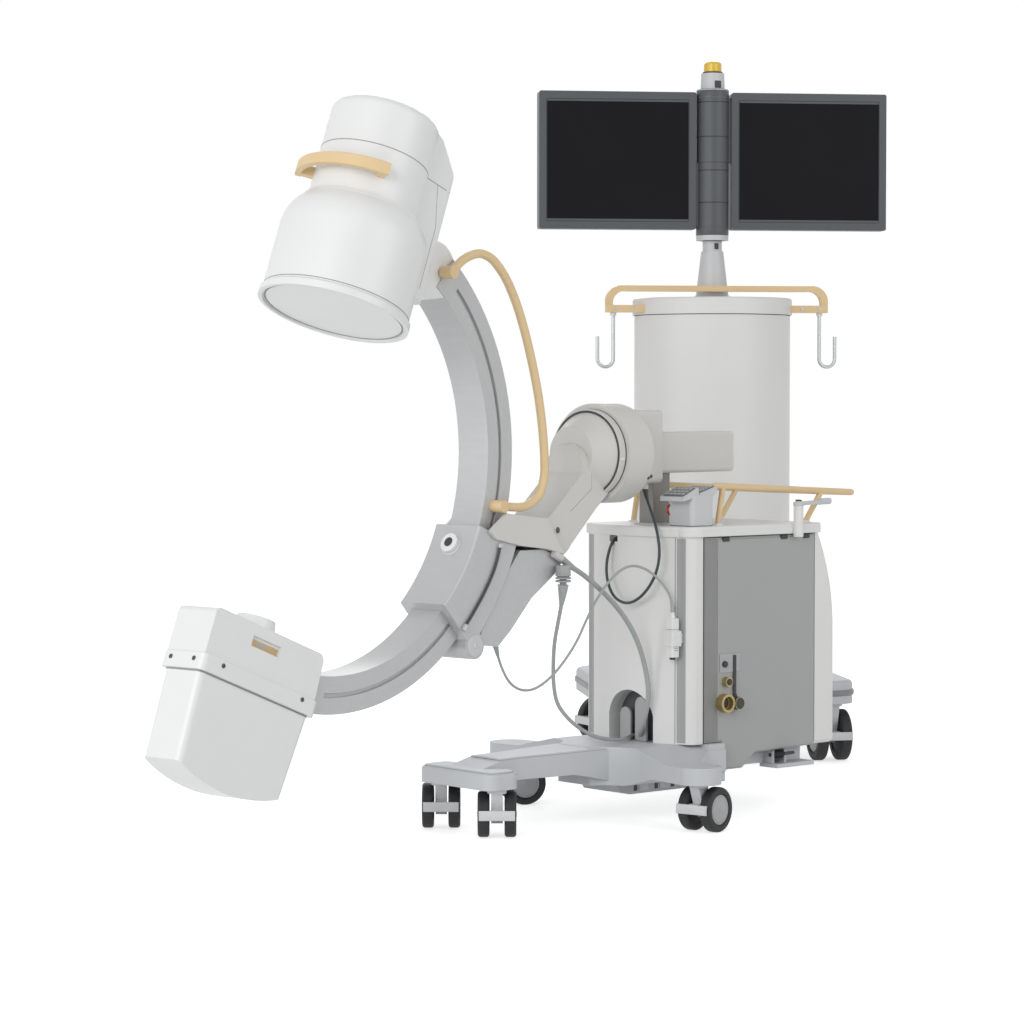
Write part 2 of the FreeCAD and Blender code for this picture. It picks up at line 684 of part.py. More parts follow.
def console():
    """control box beside the column with two sloping key panels, and its stop button"""
    low = CAB_TOP + DECK_PLATE
    top = low + CON_HIGH
    body = soft_block(CON_FRONT + 26, CON_REAR - 10, CON_NEAR, CON_FAR, low, top, 12.0)
    front_panel = side([(CON_FRONT, top - 14), (CON_FRONT, top - 4), (CON_FRONT + 48, top + 18),
                        (CON_FRONT + 52, top - 2)], CON_NEAR + 2, CON_FAR)
    rear_panel = side([(CON_FRONT + 50, top - 6), (CON_FRONT + 54, top + 4), (CON_REAR, top + 20),
                       (CON_REAR + 2, top + 10), (CON_REAR - 12, top - 4)], CON_NEAR + 2, CON_FAR)
    stop_x = (CON_FRONT + CON_REAR) / 2
    stop_z = low + CON_HIGH / 2
    boss_face = CON_FAR + 8
    boss = rod((stop_x, CON_FAR - 2, stop_z), (stop_x, boss_face, stop_z), STOP_R + 4)
    well = rod((stop_x, CON_FAR - 14, stop_z), (stop_x, boss_face + 1, stop_z), STOP_STALK_R + RUN)
    keep("console", joined([body, front_panel, rear_panel, boss]).cut(well))
    cap = boss_face + STOP_TRAVEL + GAP
    head = rod((stop_x, cap, stop_z), (stop_x, cap + 12, stop_z), STOP_R)
    head = head.makeFillet(4.0, [e for e in head.Edges if e.BoundBox.YMin > cap + 11])
    stalk = rod((stop_x, CON_FAR - 14 + STOP_TRAVEL + GAP, stop_z), (stop_x, cap + 1, stop_z), STOP_STALK_R)
    keep("stop_button", joined([head, stalk]))


def hand_switch():
    """wired exposure switch in its clip, cable end up, and its button at the lower end"""
    half = SWITCH_SIDE / 2
    body = soft_block(SWITCH_X - half, SWITCH_X + half, SWITCH_Y - half, SWITCH_Y + half,
                      SWITCH_LOW, SWITCH_HIGH, 5.0, 4.0)
    relief = cone((SWITCH_X, SWITCH_Y, SWITCH_HIGH - 1), (SWITCH_X, SWITCH_Y, SWITCH_HIGH + 14), 7.0, 4.5)
    well = rod((SWITCH_X, SWITCH_Y, SWITCH_LOW - 1), (SWITCH_X, SWITCH_Y, SWITCH_LOW + 12), BUTTON_R + RUN)
    keep("hand_switch", joined([body, relief]).cut(well))
    top = SWITCH_LOW + 12 - BUTTON_TRAVEL - GAP
    stem = rod((SWITCH_X, SWITCH_Y, top), (SWITCH_X, SWITCH_Y, SWITCH_LOW - BUTTON_TRAVEL - 3), BUTTON_R)
    keep("exposure_button", stem)


def connectors():
    """near side connectors: label plate, cap strap, three sockets and the cap on its strap"""
    face = -CAB_HALF
    plate = block(SOCK_X - 12, SOCK_X + 56, face - 3, face, SOCK_Z + 72, SOCK_Z + 116)
    strap = block(SOCK_X + 33, SOCK_X + 41, face - 5, face, SOCK_Z + 14, SOCK_Z + 112)
    cap = rod((SOCK_X + 37, face, SOCK_Z - 2), (SOCK_X + 37, face - 24, SOCK_Z - 2), 15.0)
    top = rod((SOCK_X + 4, face, SOCK_Z + 92), (SOCK_X + 4, face - 9, SOCK_Z + 92), 7.0)
    small = rod((SOCK_X + 9, face, SOCK_Z + 50), (SOCK_X + 9, face - 16, SOCK_Z + 50), 12.0)
    large = rod((SOCK_X, face, SOCK_Z), (SOCK_X, face - 22, SOCK_Z), SOCK_R + 6)
    bore = rod((SOCK_X, face - 8, SOCK_Z), (SOCK_X, face - 23, SOCK_Z), SOCK_R)
    keep("connectors", joined([plate, strap, cap, top, small, large]).cut(bore))


def lift_column():
    """square steel column with the swivel pin's bore in its top"""
    top = AXIS_Z - HEAD_HIGH - GAP
    post = soft_block(COL_X - COL_LONG / 2, COL_X + COL_LONG / 2, -COL_WIDE / 2, COL_WIDE / 2,
                      COL_FOOT, top, 3.0)
    bore = rod((COL_X, 0, top - SWIVEL_PIN_DEPTH - 1), (COL_X, 0, top + 1), SWIVEL_PIN_R + RUN)
    keep("lift_column", post.cut(bore))


def head_place(shape):
    """from the head frame, X along the arm and 0 on the column's axis, to the stand frame"""
    return move(turn(shape, YAW), COL_X, 0)


def arc_place(shape):
    """from the frame at the arc's middle to the stand frame"""
    return head_place(move(shape, -ARC_AHEAD, 0, ARC_Z))


def beam_place(shape):
    """from the beam frame, Z along the beam, to the stand frame"""
    return arc_place(turn(shape, TILT, V(0, 1, 0)))


def swivel_head():
    """housing of the horizontal arm: rounded tail, open front and the swivel pin below"""
    z0 = AXIS_Z - HEAD_HIGH
    z1 = AXIS_Z + HEAD_HIGH
    tail = HEAD_BACK - HEAD_HALF
    body = plan([(-HEAD_FRONT, -HEAD_HALF), (tail, -HEAD_HALF), ((HEAD_BACK, 0), (tail, HEAD_HALF)),
                 (-HEAD_FRONT, HEAD_HALF)], z0, z1)
    body = body.makeFillet(9.0, [e for e in edges_at(body, z0) + edges_at(body, z1) if e.BoundBox.XMax > 0])
    half = BAR_SIDE / 2 + SLIDE
    bore = block(-HEAD_FRONT - 1, BORE_TAIL, -half, half, AXIS_Z - half, AXIS_Z + half)
    pin = rod((0, 0, z0 + 2), (0, 0, z0 - GAP - SWIVEL_PIN_DEPTH), SWIVEL_PIN_R)
    keep("swivel_head", head_place(joined([body.cut(bore), pin])))


def rotation_housing():
    """bearing drum with its square back, and the bar that slides in the head"""
    front = -ROT_FRONT
    rear = front + ROT_DEPTH
    drum = rod((front, 0, AXIS_Z), (rear, 0, AXIS_Z), ROT_R)
    drum = drum.makeFillet(8.0, [e for e in drum.Edges if e.BoundBox.XMin > rear - 1])
    back = -HEAD_FRONT - GAP
    box = block(front + 12, back, -ROT_BOX_HALF, ROT_BOX_HALF, AXIS_Z - ROT_BOX_LOW, AXIS_Z + ROT_BOX_TOP)
    box = rounded(box, 14.0, V(1, 0, 0))
    half = BAR_SIDE / 2
    bar = block(back - 30, BAR_TAIL, -half, half, AXIS_Z - half, AXIS_Z + half)
    bore = rod((front - 1, 0, AXIS_Z), (front + ROT_PIN_DEPTH + 1, 0, AXIS_Z), ROT_PIN_R + RUN)
    under = AXIS_Z - ROT_BOX_LOW
    gland = rod((LOOP_GLAND_X, LOOP_GLAND_Y, under + 2), (LOOP_GLAND_X, LOOP_GLAND_Y, under - 14), 8.0)
    keep("rotation_housing", head_place(joined([drum, box, bar, gland]).cut(bore)))


def arm_clear():
    """space of the arc and its running side, cleared from the angled arm"""
    return sector(ARC_IN - 80, CAR_OUT, CAR_HALF + 1, 20, -80)


def l_arm_outline():
    """side outline of the angled arm in the arc's frame: its hub end, then its foot on the carriage"""
    hub = ARC_AHEAD - ROT_FRONT - GAP - HUB_DISC
    drop = AXIS_Z - ARC_Z
    front = hub - L_SETBACK
    upper = [(hub + 2, drop + L_HALF - L_ARCH), (front + 22, drop + L_HALF - L_ARCH),
             ((front + 6, drop + 14), (front, drop - 4)), (front, drop - 42)]
    foot = outside_carriage([(102, -13.0), (-3, -15.6), (4, -21.3), (94, -19.3), (171, -19.0),
                             ((187, -17.8), (198, -16.3))])
    return upper + foot + [(hub - 24, drop - 126), (hub + HUB_DISC - 1, drop - 92), (hub + 2, drop - 68)]


def l_arm():
    """angled arm: cast leg from the carriage up to the turning hub with its pin"""
    back = ARC_AHEAD - ROT_FRONT - GAP
    z = AXIS_Z - ARC_Z
    top = z + L_HALF - L_ARCH
    spring = top - L_HALF
    wide = L_HALF + 1
    arch = across([(-wide, -CAR_OUT), (-wide, spring), (-L_HALF, spring), ((0, top), (L_HALF, spring)),
                   (wide, spring), (wide, -CAR_OUT)], 0, back)
    leg = side(l_arm_outline(), -L_HALF, L_HALF).common(arch)
    low = [e for e in leg.Edges if e.BoundBox.YMax - e.BoundBox.YMin < 0.1
           and e.BoundBox.ZMax < spring - 30 and e.BoundBox.XMin > CAR_OUT + 16]
    leg = leg.makeFillet(L_EASE, low)
    cheek = outside_carriage([(-65, -15.6), (73, -13.7), (155, -18.8), (94, -19.3), (4, -21.3), (-80, -22.9),
                              (-106, -21.8)])
    near = side(cheek, -CAR_HALF - CHEEK, -CAR_HALF)
    tie = outside_carriage([(28, -14.8), (73, -13.7), (155, -18.8), (94, -19.3), (47, -20.2)])
    link = side(tie, -CAR_HALF - CHEEK, 2 - L_HALF)
    cheeks = [near, link, mirrored(near), mirrored(link)]
    disc = rod((back - HUB_DISC, 0, z), (back, 0, z), HUB_DISC_R)
    taper = cone((back - 78, 0, z), (back - HUB_DISC + 1, 0, z), 64.0, HUB_DISC_R - 8)
    pin = rod((back - 2, 0, z), (back + GAP + ROT_PIN_DEPTH, 0, z), ROT_PIN_R)
    gx, gy, gz = HOSE_GLAND
    gland = rod((gx - 26, gy, gz + 13), HOSE_GLAND, HOSE_R + 3)
    body = joined([leg, disc, taper, pin]).cut(arm_clear())
    keep("l_arm", arc_place(joined([body, gland] + cheeks)))


def carriage():
    """channel round the arc with rails in its grooves, outer bracket and round lower end"""
    wrap = sector(CAR_IN, CAR_OUT, CAR_HALF, CAR_TOP_DEG, CAR_LOW_DEG)
    wrap = wrap.makeFillet(CAR_EASE, [e for e in wrap.Edges if e.BoundBox.YMax - e.BoundBox.YMin < 0.1
                                      and not isinstance(e.Curve, Part.Line)])
    slot = sector(ARC_IN - SLIDE, ARC_OUT + SLIDE, ARC_HALF + SLIDE, CAR_TOP_DEG + 12, CAR_LOW_DEG - 12)
    foot = outside_carriage([(20, -21.9), (95, -19.4), (170, -19.3), (160, -21.9), (103, -29.1), (81, -37.4),
                             (69, -42.1), (13, -45.3), (-16, -36.8)])
    bracket = side(foot, 6 - CAR_HALF, CAR_HALF - 6)
    end = math.radians(CAR_LOW_DEG + 1)
    ex = (CAR_OUT + 4) * math.cos(end)
    ez = (CAR_OUT + 4) * math.sin(end)
    roll = rod((ex, -CAR_HALF, ez), (ex, CAR_HALF, ez), CAR_END_R)
    middle = (ARC_IN + ARC_OUT) / 2
    key = ARC_GROOVE / 2 - SLIDE
    rail = sector(middle - key, middle + key, CAR_HALF - 2, CAR_TOP_DEG, CAR_LOW_DEG)
    reach = ARC_HALF - ARC_GROOVE_DEEP + SLIDE
    rails = rail.cut(block(0, CAR_OUT, -reach, reach, -CAR_OUT, 0))
    above = outside_carriage([(-74, -11.3), (4, -21.3), (94, -19.3), (171, -19.0), (202, -14.7), (322, -6.3)])
    arm_space = side(above, -CAR_HALF, CAR_HALF).cut(sector(0, CAR_OUT, CAR_HALF + 1, 20, -80))
    body = joined([wrap, bracket, roll]).cut([slot, arm_space])
    knob_at = math.radians(KNOB_DEG)
    ux = math.cos(knob_at)
    uz = math.sin(knob_at)

    def along(r):
        return (r * ux, 0, r * uz)

    well = rod(along(CAR_IN - 10), along(CAR_IN + 12), KNOB_PIN_R + RUN)
    gx, gy, gz = SWITCH_GLAND
    bosses = [rod((gx - 8, gy, gz + 22), SWITCH_GLAND, SWITCH_CORD_R + 4),
              rod((THIN_TOP[0] + 2, THIN_Y, THIN_TOP[1] + 8), (THIN_TOP[0], THIN_Y, THIN_TOP[1]), THIN_R + 3),
              rod((THIN_END[0], THIN_Y, THIN_END[1]), (THIN_END[0] - 9, THIN_Y, THIN_END[1] - 12), THIN_R + 3)]
    keep("carriage", arc_place(joined([body] + rails.Solids + bosses).cut(well)))
    head = rod(along(CAR_IN - KNOB_HIGH), along(CAR_IN - 1 - GAP), KNOB_R)
    pin = rod(along(CAR_IN - KNOB_HIGH + 1), along(CAR_IN + 11), KNOB_PIN_R)
    keep("lock_knob", arc_place(joined([head, pin])))


def arc_solid():
    return sector(ARC_IN, ARC_OUT, ARC_HALF, ARC_TOP_DEG, ARC_LOW_DEG)


def c_arc():
    """rolled arc with a groove along each side for the carriage's rails"""
    middle = (ARC_IN + ARC_OUT) / 2
    ring = sector(middle - ARC_GROOVE / 2, middle + ARC_GROOVE / 2, ARC_HALF + 2,
                  ARC_TOP_DEG - 6, ARC_LOW_DEG + 4.5)
    inner = ARC_HALF - ARC_GROOVE_DEEP
    groove = ring.cut(block(-600, 600, -inner, inner, -600, 600))
    keep("c_arc", beam_place(arc_solid().cut(groove.Solids)))


def spine(z0, z1):
    """rear box of the detector between two heights"""
    box = soft_block(0, SPINE_BACK, -SPINE_HALF, SPINE_HALF, z0, z1, SPINE_ROUND)
    return move(box, BEAM_X, 0)


def detector():
    """image detector: flared skirt, and neck with rear spine, sloping cap and arc bracket"""
    z = FACE_Z
    shoulder = z + NECK_START
    skirt = turned([(0, z + 4), (FACE_R - 9, z + 4), (FACE_R - 9, z), (FACE_R, z), (FACE_R, z + 15),
                    (SKIRT_R, z + 20), (SKIRT_R, z + SKIRT_HIGH),
                    ((SKIRT_R - 8, z + SKIRT_HIGH + 36), (NECK_R + 12, shoulder - 8)),
                    (NECK_R + 8, shoulder), (0, shoulder)])
    full_spine = spine(z + SPINE_LOW, z + CAP_HIGH)
    keep("detector_skirt", beam_place(move(skirt, BEAM_X, 0).cut(full_spine)))
    neck = move(Part.makeCylinder(NECK_R, CAP_HIGH - NECK_START, V(0, 0, z + NECK_START)), BEAM_X, 0)
    roof = side([(BEAM_X - 200, z), (BEAM_X - 200, z + CAP_HIGH), (BEAM_X + 20, z + CAP_HIGH),
                 ((BEAM_X + 72, z + CAP_HIGH - 2), (BEAM_X + CAP_SHOULDER, z + CAP_HIGH - 14)),
                 (BEAM_X + CAP_BREAK, z + CAP_SEAM + 36), (BEAM_X + SPINE_BACK + 1, shoulder),
                 (BEAM_X + SPINE_BACK + 1, z)], -FACE_R, FACE_R)
    end_x = ARC_OUT * math.cos(math.radians(ARC_TOP_DEG)) + 12
    back = BEAM_X + SPINE_BACK
    bracket = side([(back - 60, z + SPINE_LOW + 20), (back - 60, z + 250), (back + 8, z + 250),
                    ((end_x - 16, z + 244), (end_x, z + 226)), (end_x, z + 152), (end_x - 42, z + 130)],
                   2 - ARC_HALF, ARC_HALF - 2)
    head = joined([neck, full_spine]).common(roof)
    rim = [e for e in head.Edges if e.BoundBox.ZMin > z + CAP_HIGH - 1 and not isinstance(e.Curve, Part.Line)]
    head = head.makeFillet(CAP_ROUND, rim)
    body = joined([head, bracket]).cut(arc_solid())
    keep("detector_body", beam_place(body))


def detector_handle():
    """flat curved handle round the front of the neck, standing on two feet"""
    z = FACE_Z + HANDLE_HIGH
    inner = HANDLE_REACH - HANDLE_THICK
    crown = (inner + HANDLE_REACH) / 2
    half = HANDLE_TALL / 2
    ring = turned([(inner, z - half), (inner, z + half), ((crown, z + half + 3), (HANDLE_REACH, z + half)),
                   (HANDLE_REACH, z - half)])
    far_x = 400 * math.cos(math.radians(HANDLE_FOOT_FAR - 4))
    far_y = 400 * math.sin(math.radians(HANDLE_FOOT_FAR - 4))
    near_x = 400 * math.cos(math.radians(HANDLE_FOOT_NEAR + 4))
    near_y = 400 * math.sin(math.radians(HANDLE_FOOT_NEAR + 4))
    front = plan([(0, 0), (far_x, far_y), (-600, 0), (near_x, near_y)], z - HANDLE_TALL, z + HANDLE_TALL)
    parts = [ring.common(front)]
    for deg in (HANDLE_FOOT_NEAR, HANDLE_FOOT_FAR):
        foot = block(NECK_R - 10, HANDLE_REACH - 4, -9, 9, z - half + 1, z + half - 1)
        parts.append(turn(foot, deg))
    neck = Part.makeCylinder(NECK_R, CAP_HIGH - NECK_START, V(0, 0, FACE_Z + NECK_START))
    keep("detector_handle", beam_place(move(joined(parts).cut(neck), BEAM_X, 0)))


def tube_upper_cover():
    """upper cover of the x-ray tube housing: flange lip, beam port and a shallow window recess"""
    y = TUBE_HALF
    box = side([(TUBE_FRONT, TUBE_SEAM), (TUBE_FRONT, TUBE_TOP - 12), ((TUBE_FRONT + 4, TUBE_TOP - 4),
                (TUBE_FRONT + 12, TUBE_TOP)), (TUBE_BACK - 18, TUBE_TOP), ((TUBE_BACK - 4, TUBE_TOP - 6),
                (TUBE_BACK, TUBE_TOP - 20)), (TUBE_BACK + 6, TUBE_SEAM)], -y, y)
    lip = soft_block(TUBE_FRONT - TUBE_LIP, TUBE_BACK + 6 + TUBE_LIP, -y - TUBE_LIP, y + TUBE_LIP,
                     TUBE_SEAM, TUBE_SEAM + TUBE_LIP_HIGH, 14.0, 3.0)
    dome = cone((DOME_X, 0, TUBE_TOP - 2), (DOME_X, 0, TUBE_TOP + DOME_HIGH), DOME_R, DOME_R - 5)
    recess = block(RECESS_X - RECESS_LONG / 2, RECESS_X + RECESS_LONG / 2, -y - 1, RECESS_DEEP - y,
                   RECESS_Z - RECESS_HIGH / 2, RECESS_Z + RECESS_HIGH / 2)
    keep("tube_upper_cover", beam_place(joined([box, lip, dome]).cut([recess, arc_solid()])))


def tube_lower_cover():
    """lower cover: straight tapering sides, rounded upright edges and a bellied bottom"""
    y = TUBE_HALF - 2
    low = side([(TUBE_FRONT + 2, TUBE_SEAM), (TUBE_FRONT + 10, TUBE_LOW),
                (((TUBE_FRONT + TUBE_BACK) / 2, TUBE_LOW - TUBE_BELLY), (TUBE_BACK - 14, TUBE_LOW + 4)),
                (TUBE_BACK + 2, TUBE_SEAM)], -y, y)
    tall = 0.9 * (TUBE_SEAM - TUBE_LOW)
    upright = [e for e in low.Edges if isinstance(e.Curve, Part.Line) and e.BoundBox.ZLength > tall]
    keep("tube_lower_cover", beam_place(low.makeFillet(TUBE_ROUND, upright)))


def grab_bar():
    """round grab bar outside the arc, bent to follow it, with a boss at each end"""
    route = [(-44, 71.9), (9, 70.6), (54, 67.8), (76, 64.1), (84, 58.7), (82, 52.2), (77, 45.5), (75, 39.0),
             (77, 32.8), (80, 27.1), (85, 21.4), (90, 15.9), (75, 11.4), (29, 8.5), (-47, 7.1)]
    bends = [round_arc(ARC_OUT, p) for p in route]
    bar = tube_path([(x, GRAB_Y, z) for x, z in bends], GRAB_R, "grab bar")
    bosses = []
    for x, z in (bends[0], bends[-1]):
        bosses.append(rod((x, GRAB_Y - 11, z), (x, -ARC_HALF, z), GRAB_BOSS_R))
    keep("grab_bar", beam_place(joined([bar] + bosses)))


def place_point(a, across_arm, up):
    """a point of the arc's frame in the stand frame"""
    yaw = math.radians(YAW)
    x = a - ARC_AHEAD
    return (COL_X + x * math.cos(yaw) - across_arm * math.sin(yaw),
            x * math.sin(yaw) + across_arm * math.cos(yaw), up + ARC_Z)


def keep_cord(name, points, radius, held_by):
    """a cable's tube, ended flush on the pieces that hold it"""
    keep(name, tube_path(points, radius, name).cut([pieces[holder] for holder in held_by]))


def cords():
    """the five cables at rest, and the plug that hangs on the hose"""
    port_back = COVER_FRONT + PORT_DEPTH
    yaw = math.radians(YAW)
    start_x = COL_X + LOOP_GLAND_X * math.cos(yaw) - LOOP_GLAND_Y * math.sin(yaw)
    start_y = LOOP_GLAND_X * math.sin(yaw) + LOOP_GLAND_Y * math.cos(yaw)
    start_z = AXIS_Z - ROT_BOX_LOW - 14
    loop = [(start_x, start_y, start_z), (start_x - 6, start_y - 14, 752), (56, -88, 726), (42, -122, 684),
            (38, -137, 629), (36, -124, 577), (31, -88, 530), (28, -38, 505), (30, 14, 518), (34, 42, 556),
            (38, 50, 597), (43, 44, 634), (54, 41, 656), (COVER_FRONT + 22, 40, 660)]
    keep_cord("cord_loop", loop, LOOP_R, ["rotation_housing", "front_cover"])
    hose = [place_point(*HOSE_GLAND), (-234, -125, 609), (-200, -120, 594), (-167, -115, 576),
            (-110, -107, 540), (-60, -100, 502), (-20, -97, 460), (12, -94, 412), (36, -91, 354),
            (46, -92, 294), (45, -78, 236), (52, -54, 202), (70, -36, 191), (port_back, -26, 189)]
    keep_cord("cord_hose", hose, HOSE_R, ["l_arm", "front_cover"])
    switch = [(SWITCH_X, SWITCH_Y, SWITCH_HIGH + 14), (SWITCH_X - 1, SWITCH_Y, 514), (56, -146, 540),
              (36, -136, 570), (4, -124, 596), (-40, -122, 606), (-82, -124, 594), (-122, -126, 566),
              (-156, -125, 528), (-182, -122, 486), (-206, -119, 440), (-236, -113, 398), (-274, -104, 356),
              (-318, -97, 330), (-364, -100, 330), (-404, -106, 350), (-430, -111, 384), (-445, -113.5, 415),
              place_point(*SWITCH_GLAND)]
    keep_cord("cord_switch", switch, SWITCH_CORD_R, ["hand_switch", "carriage"])
    plugged = [(PLUG_X, PLUG_Y, PLUG_LOW), (PLUG_X, PLUG_Y + 3, 534), (-264, -116, 486), (-258, -95, 435),
               (-248, -80, 382), (-241, -73, 334), (-226, -68, 288), (-196, -74, 252), (-156, -76, 224),
               (-110, -74, 204), (-60, -68, 194), (-8, -52, 188), (36, -24, 186), (70, -2, 187),
               (port_back, 6, 188)]
    tall = PLUG_TOP - PLUG_LOW
    body = turned([(0, 0), (PLUG_CORD_R + 3, 0), (PLUG_CORD_R + 4, 14), (PLUG_R - 1, 20), (PLUG_R, 24),
                   (PLUG_R, tall - 3), (PLUG_R - 3, tall), (0, tall)])
    keep("plug", move(body, PLUG_X, PLUG_Y, PLUG_LOW))
    keep_cord("cord_plugged", plugged, PLUG_CORD_R, ["plug", "front_cover"])
    thin = [THIN_TOP, (476, -233), (462, -266), (438, -302), (406, -342), THIN_END]
    keep_cord("cord_thin", [place_point(along, THIN_Y, up) for along, up in thin], THIN_R, ["carriage"])


def station_place(shape):
    return move(turn(shape, ST_YAW), ST_X, ST_Y)


def station_stems():
    """stem places of the station's castors: front left, front right, rear right, rear left"""
    x = ST_HALF_X - ST_STEM_INSET
    y = ST_HALF_Y - ST_STEM_INSET
    return [(-x, -y), (x, -y), (x, y), (-x, y)]


def station_castors():
    names = ["station_castor_front_left", "station_castor_front_right", "station_castor_rear_right",
             "station_castor_rear_left"]
    headings = [20.0, 60.0, 35.0, -15.0]
    yaw = math.radians(ST_YAW)
    for name, (x, y), heading in zip(names, station_stems(), headings):
        stand_x = ST_X + x * math.cos(yaw) - y * math.sin(yaw)
        stand_y = ST_Y + x * math.sin(yaw) + y * math.cos(yaw)
        castor(name, stand_x, stand_y, ST_BASE_LOW, heading, STATION_CASTOR)


def station_body():
    """wheeled base, drum cabinet with its lid, the column and the status lamp"""
    base = soft_block(-ST_HALF_X, ST_HALF_X, -ST_HALF_Y, ST_HALF_Y, ST_BASE_LOW, ST_BASE_TOP, 70.0, 14.0)
    keep("station_base", station_place(base.cut(stem_bores(station_stems(), ST_BASE_LOW))))
    seam = ST_RIM - ST_LID
    wall = ST_R - ST_LID_STEP
    drum = turned([(0, ST_BASE_TOP), (wall, ST_BASE_TOP), (wall, seam), (ST_R, seam), (ST_R, ST_RIM - 8),
                   ((ST_R - 2, ST_RIM - 2), (ST_R - 8, ST_RIM)), (0, ST_RIM)])
    keep("station_drum", station_place(drum))
    top = MON_LOW + MON_HIGH - 14
    post = turned([(0, ST_RIM), (ST_CONE_R0 + 8, ST_RIM), (ST_CONE_R0, ST_RIM + 12), (ST_CONE_R1, ST_CONE_TOP),
                   (ST_NECK_R, ST_CONE_TOP), (ST_NECK_R, ST_POST_LOW), (ST_POST_R, ST_POST_LOW),
                   (ST_POST_R, MON_LOW + 6), (ST_CORE_R, MON_LOW + 6), (ST_CORE_R, top), (ST_POST_R, top),
                   (ST_POST_R, ST_POST_TOP), (34, ST_POST_TOP), (32, ST_POST_TOP + ST_LAMP_BASE),
                   (0, ST_POST_TOP + ST_LAMP_BASE)])
    keep("station_column", station_place(post))
    foot = ST_POST_TOP + ST_LAMP_BASE
    lamp = turned([(0, foot), (ST_LAMP_R, foot), (ST_LAMP_R, foot + ST_LAMP_HIGH - 7),
                   ((ST_LAMP_R - 3, foot + ST_LAMP_HIGH - 2), (ST_LAMP_R - 8, foot + ST_LAMP_HIGH)),
                   (0, foot + ST_LAMP_HIGH)])
    keep("station_lamp", station_place(lamp))


def station_handle():
    """bar before the column, bent down to a bracket at each side of the drum, and two hooks"""
    low = ST_RIM - 22
    high = ST_RIM + ST_BAR_HIGH
    out = ST_BAR_HALF + ST_BAR_END
    y0 = ST_BAR_Y - ST_BAR_HALF_WIDE
    y1 = ST_BAR_Y + ST_BAR_HALF_WIDE
    bar = side([(-out, low), ((-out + 12, high - 12), (-ST_BAR_HALF + 4, high)), (ST_BAR_HALF - 4, high),
                ((out - 12, high - 12), (out, low)), (out - 18, low),
                ((out - 28, high - 24), (ST_BAR_HALF - 14, high - 16)), (14 - ST_BAR_HALF, high - 16),
                ((28 - out, high - 24), (18 - out, low))], y0, y1)
    parts = [bar]
    for s in (-1, 1):
        inner = s * (ST_R - 20)
        parts.append(block(min(inner, s * out), max(inner, s * out), y0 - 6, y1 + 6, low - 18, low + 2))
    drum = Part.makeCylinder(ST_R, ST_RIM)
    keep("station_handle", station_place(joined(parts).cut(drum)))
    hooks = []
    for s in (-1, 1):
        x = s * (out - 20)
        top = low - 18
        bend_z = top - HOOK_DROP
        tip_x = x + s * 2 * HOOK_BEND
        path = [Part.LineSegment(V(x, ST_BAR_Y, top), V(x, ST_BAR_Y, bend_z)),
                Part.Arc(V(x, ST_BAR_Y, bend_z), V(x + s * HOOK_BEND, ST_BAR_Y, bend_z - HOOK_BEND),
                         V(tip_x, ST_BAR_Y, bend_z)),
                Part.LineSegment(V(tip_x, ST_BAR_Y, bend_z), V(tip_x, ST_BAR_Y, bend_z + HOOK_TIP))]
        ring = Part.Wire([Part.makeCircle(HOOK_R, V(x, ST_BAR_Y, top), V(0, 0, -1))])
        hooks.append(Part.Wire([p.toShape() for p in path]).makePipeShell([ring], True, False))
    keep("station_hooks", station_place(Part.makeCompound(hooks)))


def monitors():
    """two flat monitors, each on its own collar round the column's core"""
    core_low = MON_LOW + 6
    core_top = MON_LOW + MON_HIGH - 14
    halfway = (core_low + core_top) / 2
    for name, s, z0, z1 in (("left", -1, core_low, halfway), ("right", 1, halfway, core_top)):
        start = s * (ST_POST_R + MON_AWAY)
        end = s * (ST_POST_R + MON_AWAY + MON_WIDE)
        x0, x1 = min(start, end), max(start, end)
        deep = MON_THICK / 2
        case = rounded(block(x0, x1, -deep, deep, MON_LOW, MON_LOW + MON_HIGH), 6.0, V(0, 1, 0))
        collar = Part.makeCylinder(ST_POST_R, z1 - z0 - 2 * GAP, V(0, 0, z0 + GAP))
        inner, outer = min(s * 8, start + s * 8), max(s * 8, start + s * 8)
        neck = block(inner, outer, 8 - deep, deep - 8, z0 + GAP, z1 - GAP)
        window = block(x0 + MON_BEZEL, x1 - MON_BEZEL, -deep - 1, MON_RECESS - deep,
                       MON_LOW + MON_BEZEL + 8, MON_LOW + MON_HIGH - MON_BEZEL - 8)
        core = Part.makeCylinder(ST_CORE_R + RUN, MON_HIGH, V(0, 0, MON_LOW))
        keep("monitor_" + name, station_place(joined([case, collar, neck]).cut([window, core])))
        glass = block(x0 + MON_BEZEL, x1 - MON_BEZEL, MON_RECESS - MON_GLASS - deep, MON_RECESS - deep,
                      MON_LOW + MON_BEZEL + 8, MON_LOW + MON_HIGH - MON_BEZEL - 8)
        keep("screen_" + name, station_place(glass))


def finish():
    """move every piece so that the origin lies under the middle of the set, and write the files"""
    os.makedirs("parts", exist_ok=True)
    rigid = [shape for name, shape in pieces.items() if not name.startswith("cord")]
    box = Part.makeCompound(rigid).optimalBoundingBox(False)
    print("middle of the set %.1f %.1f, size %.1f %.1f %.1f, lowest %.3f"
          % (box.Center.x, box.Center.y, box.XLength, box.YLength, box.ZLength, box.ZMin))
    for name, shape in pieces.items():
        placed = move(shape, -SET_X, -SET_Y)
        if not placed.isValid():
            print("not valid:", name)
        placed.exportStep("parts/" + name + ".step")
    print(len(pieces), "pieces")


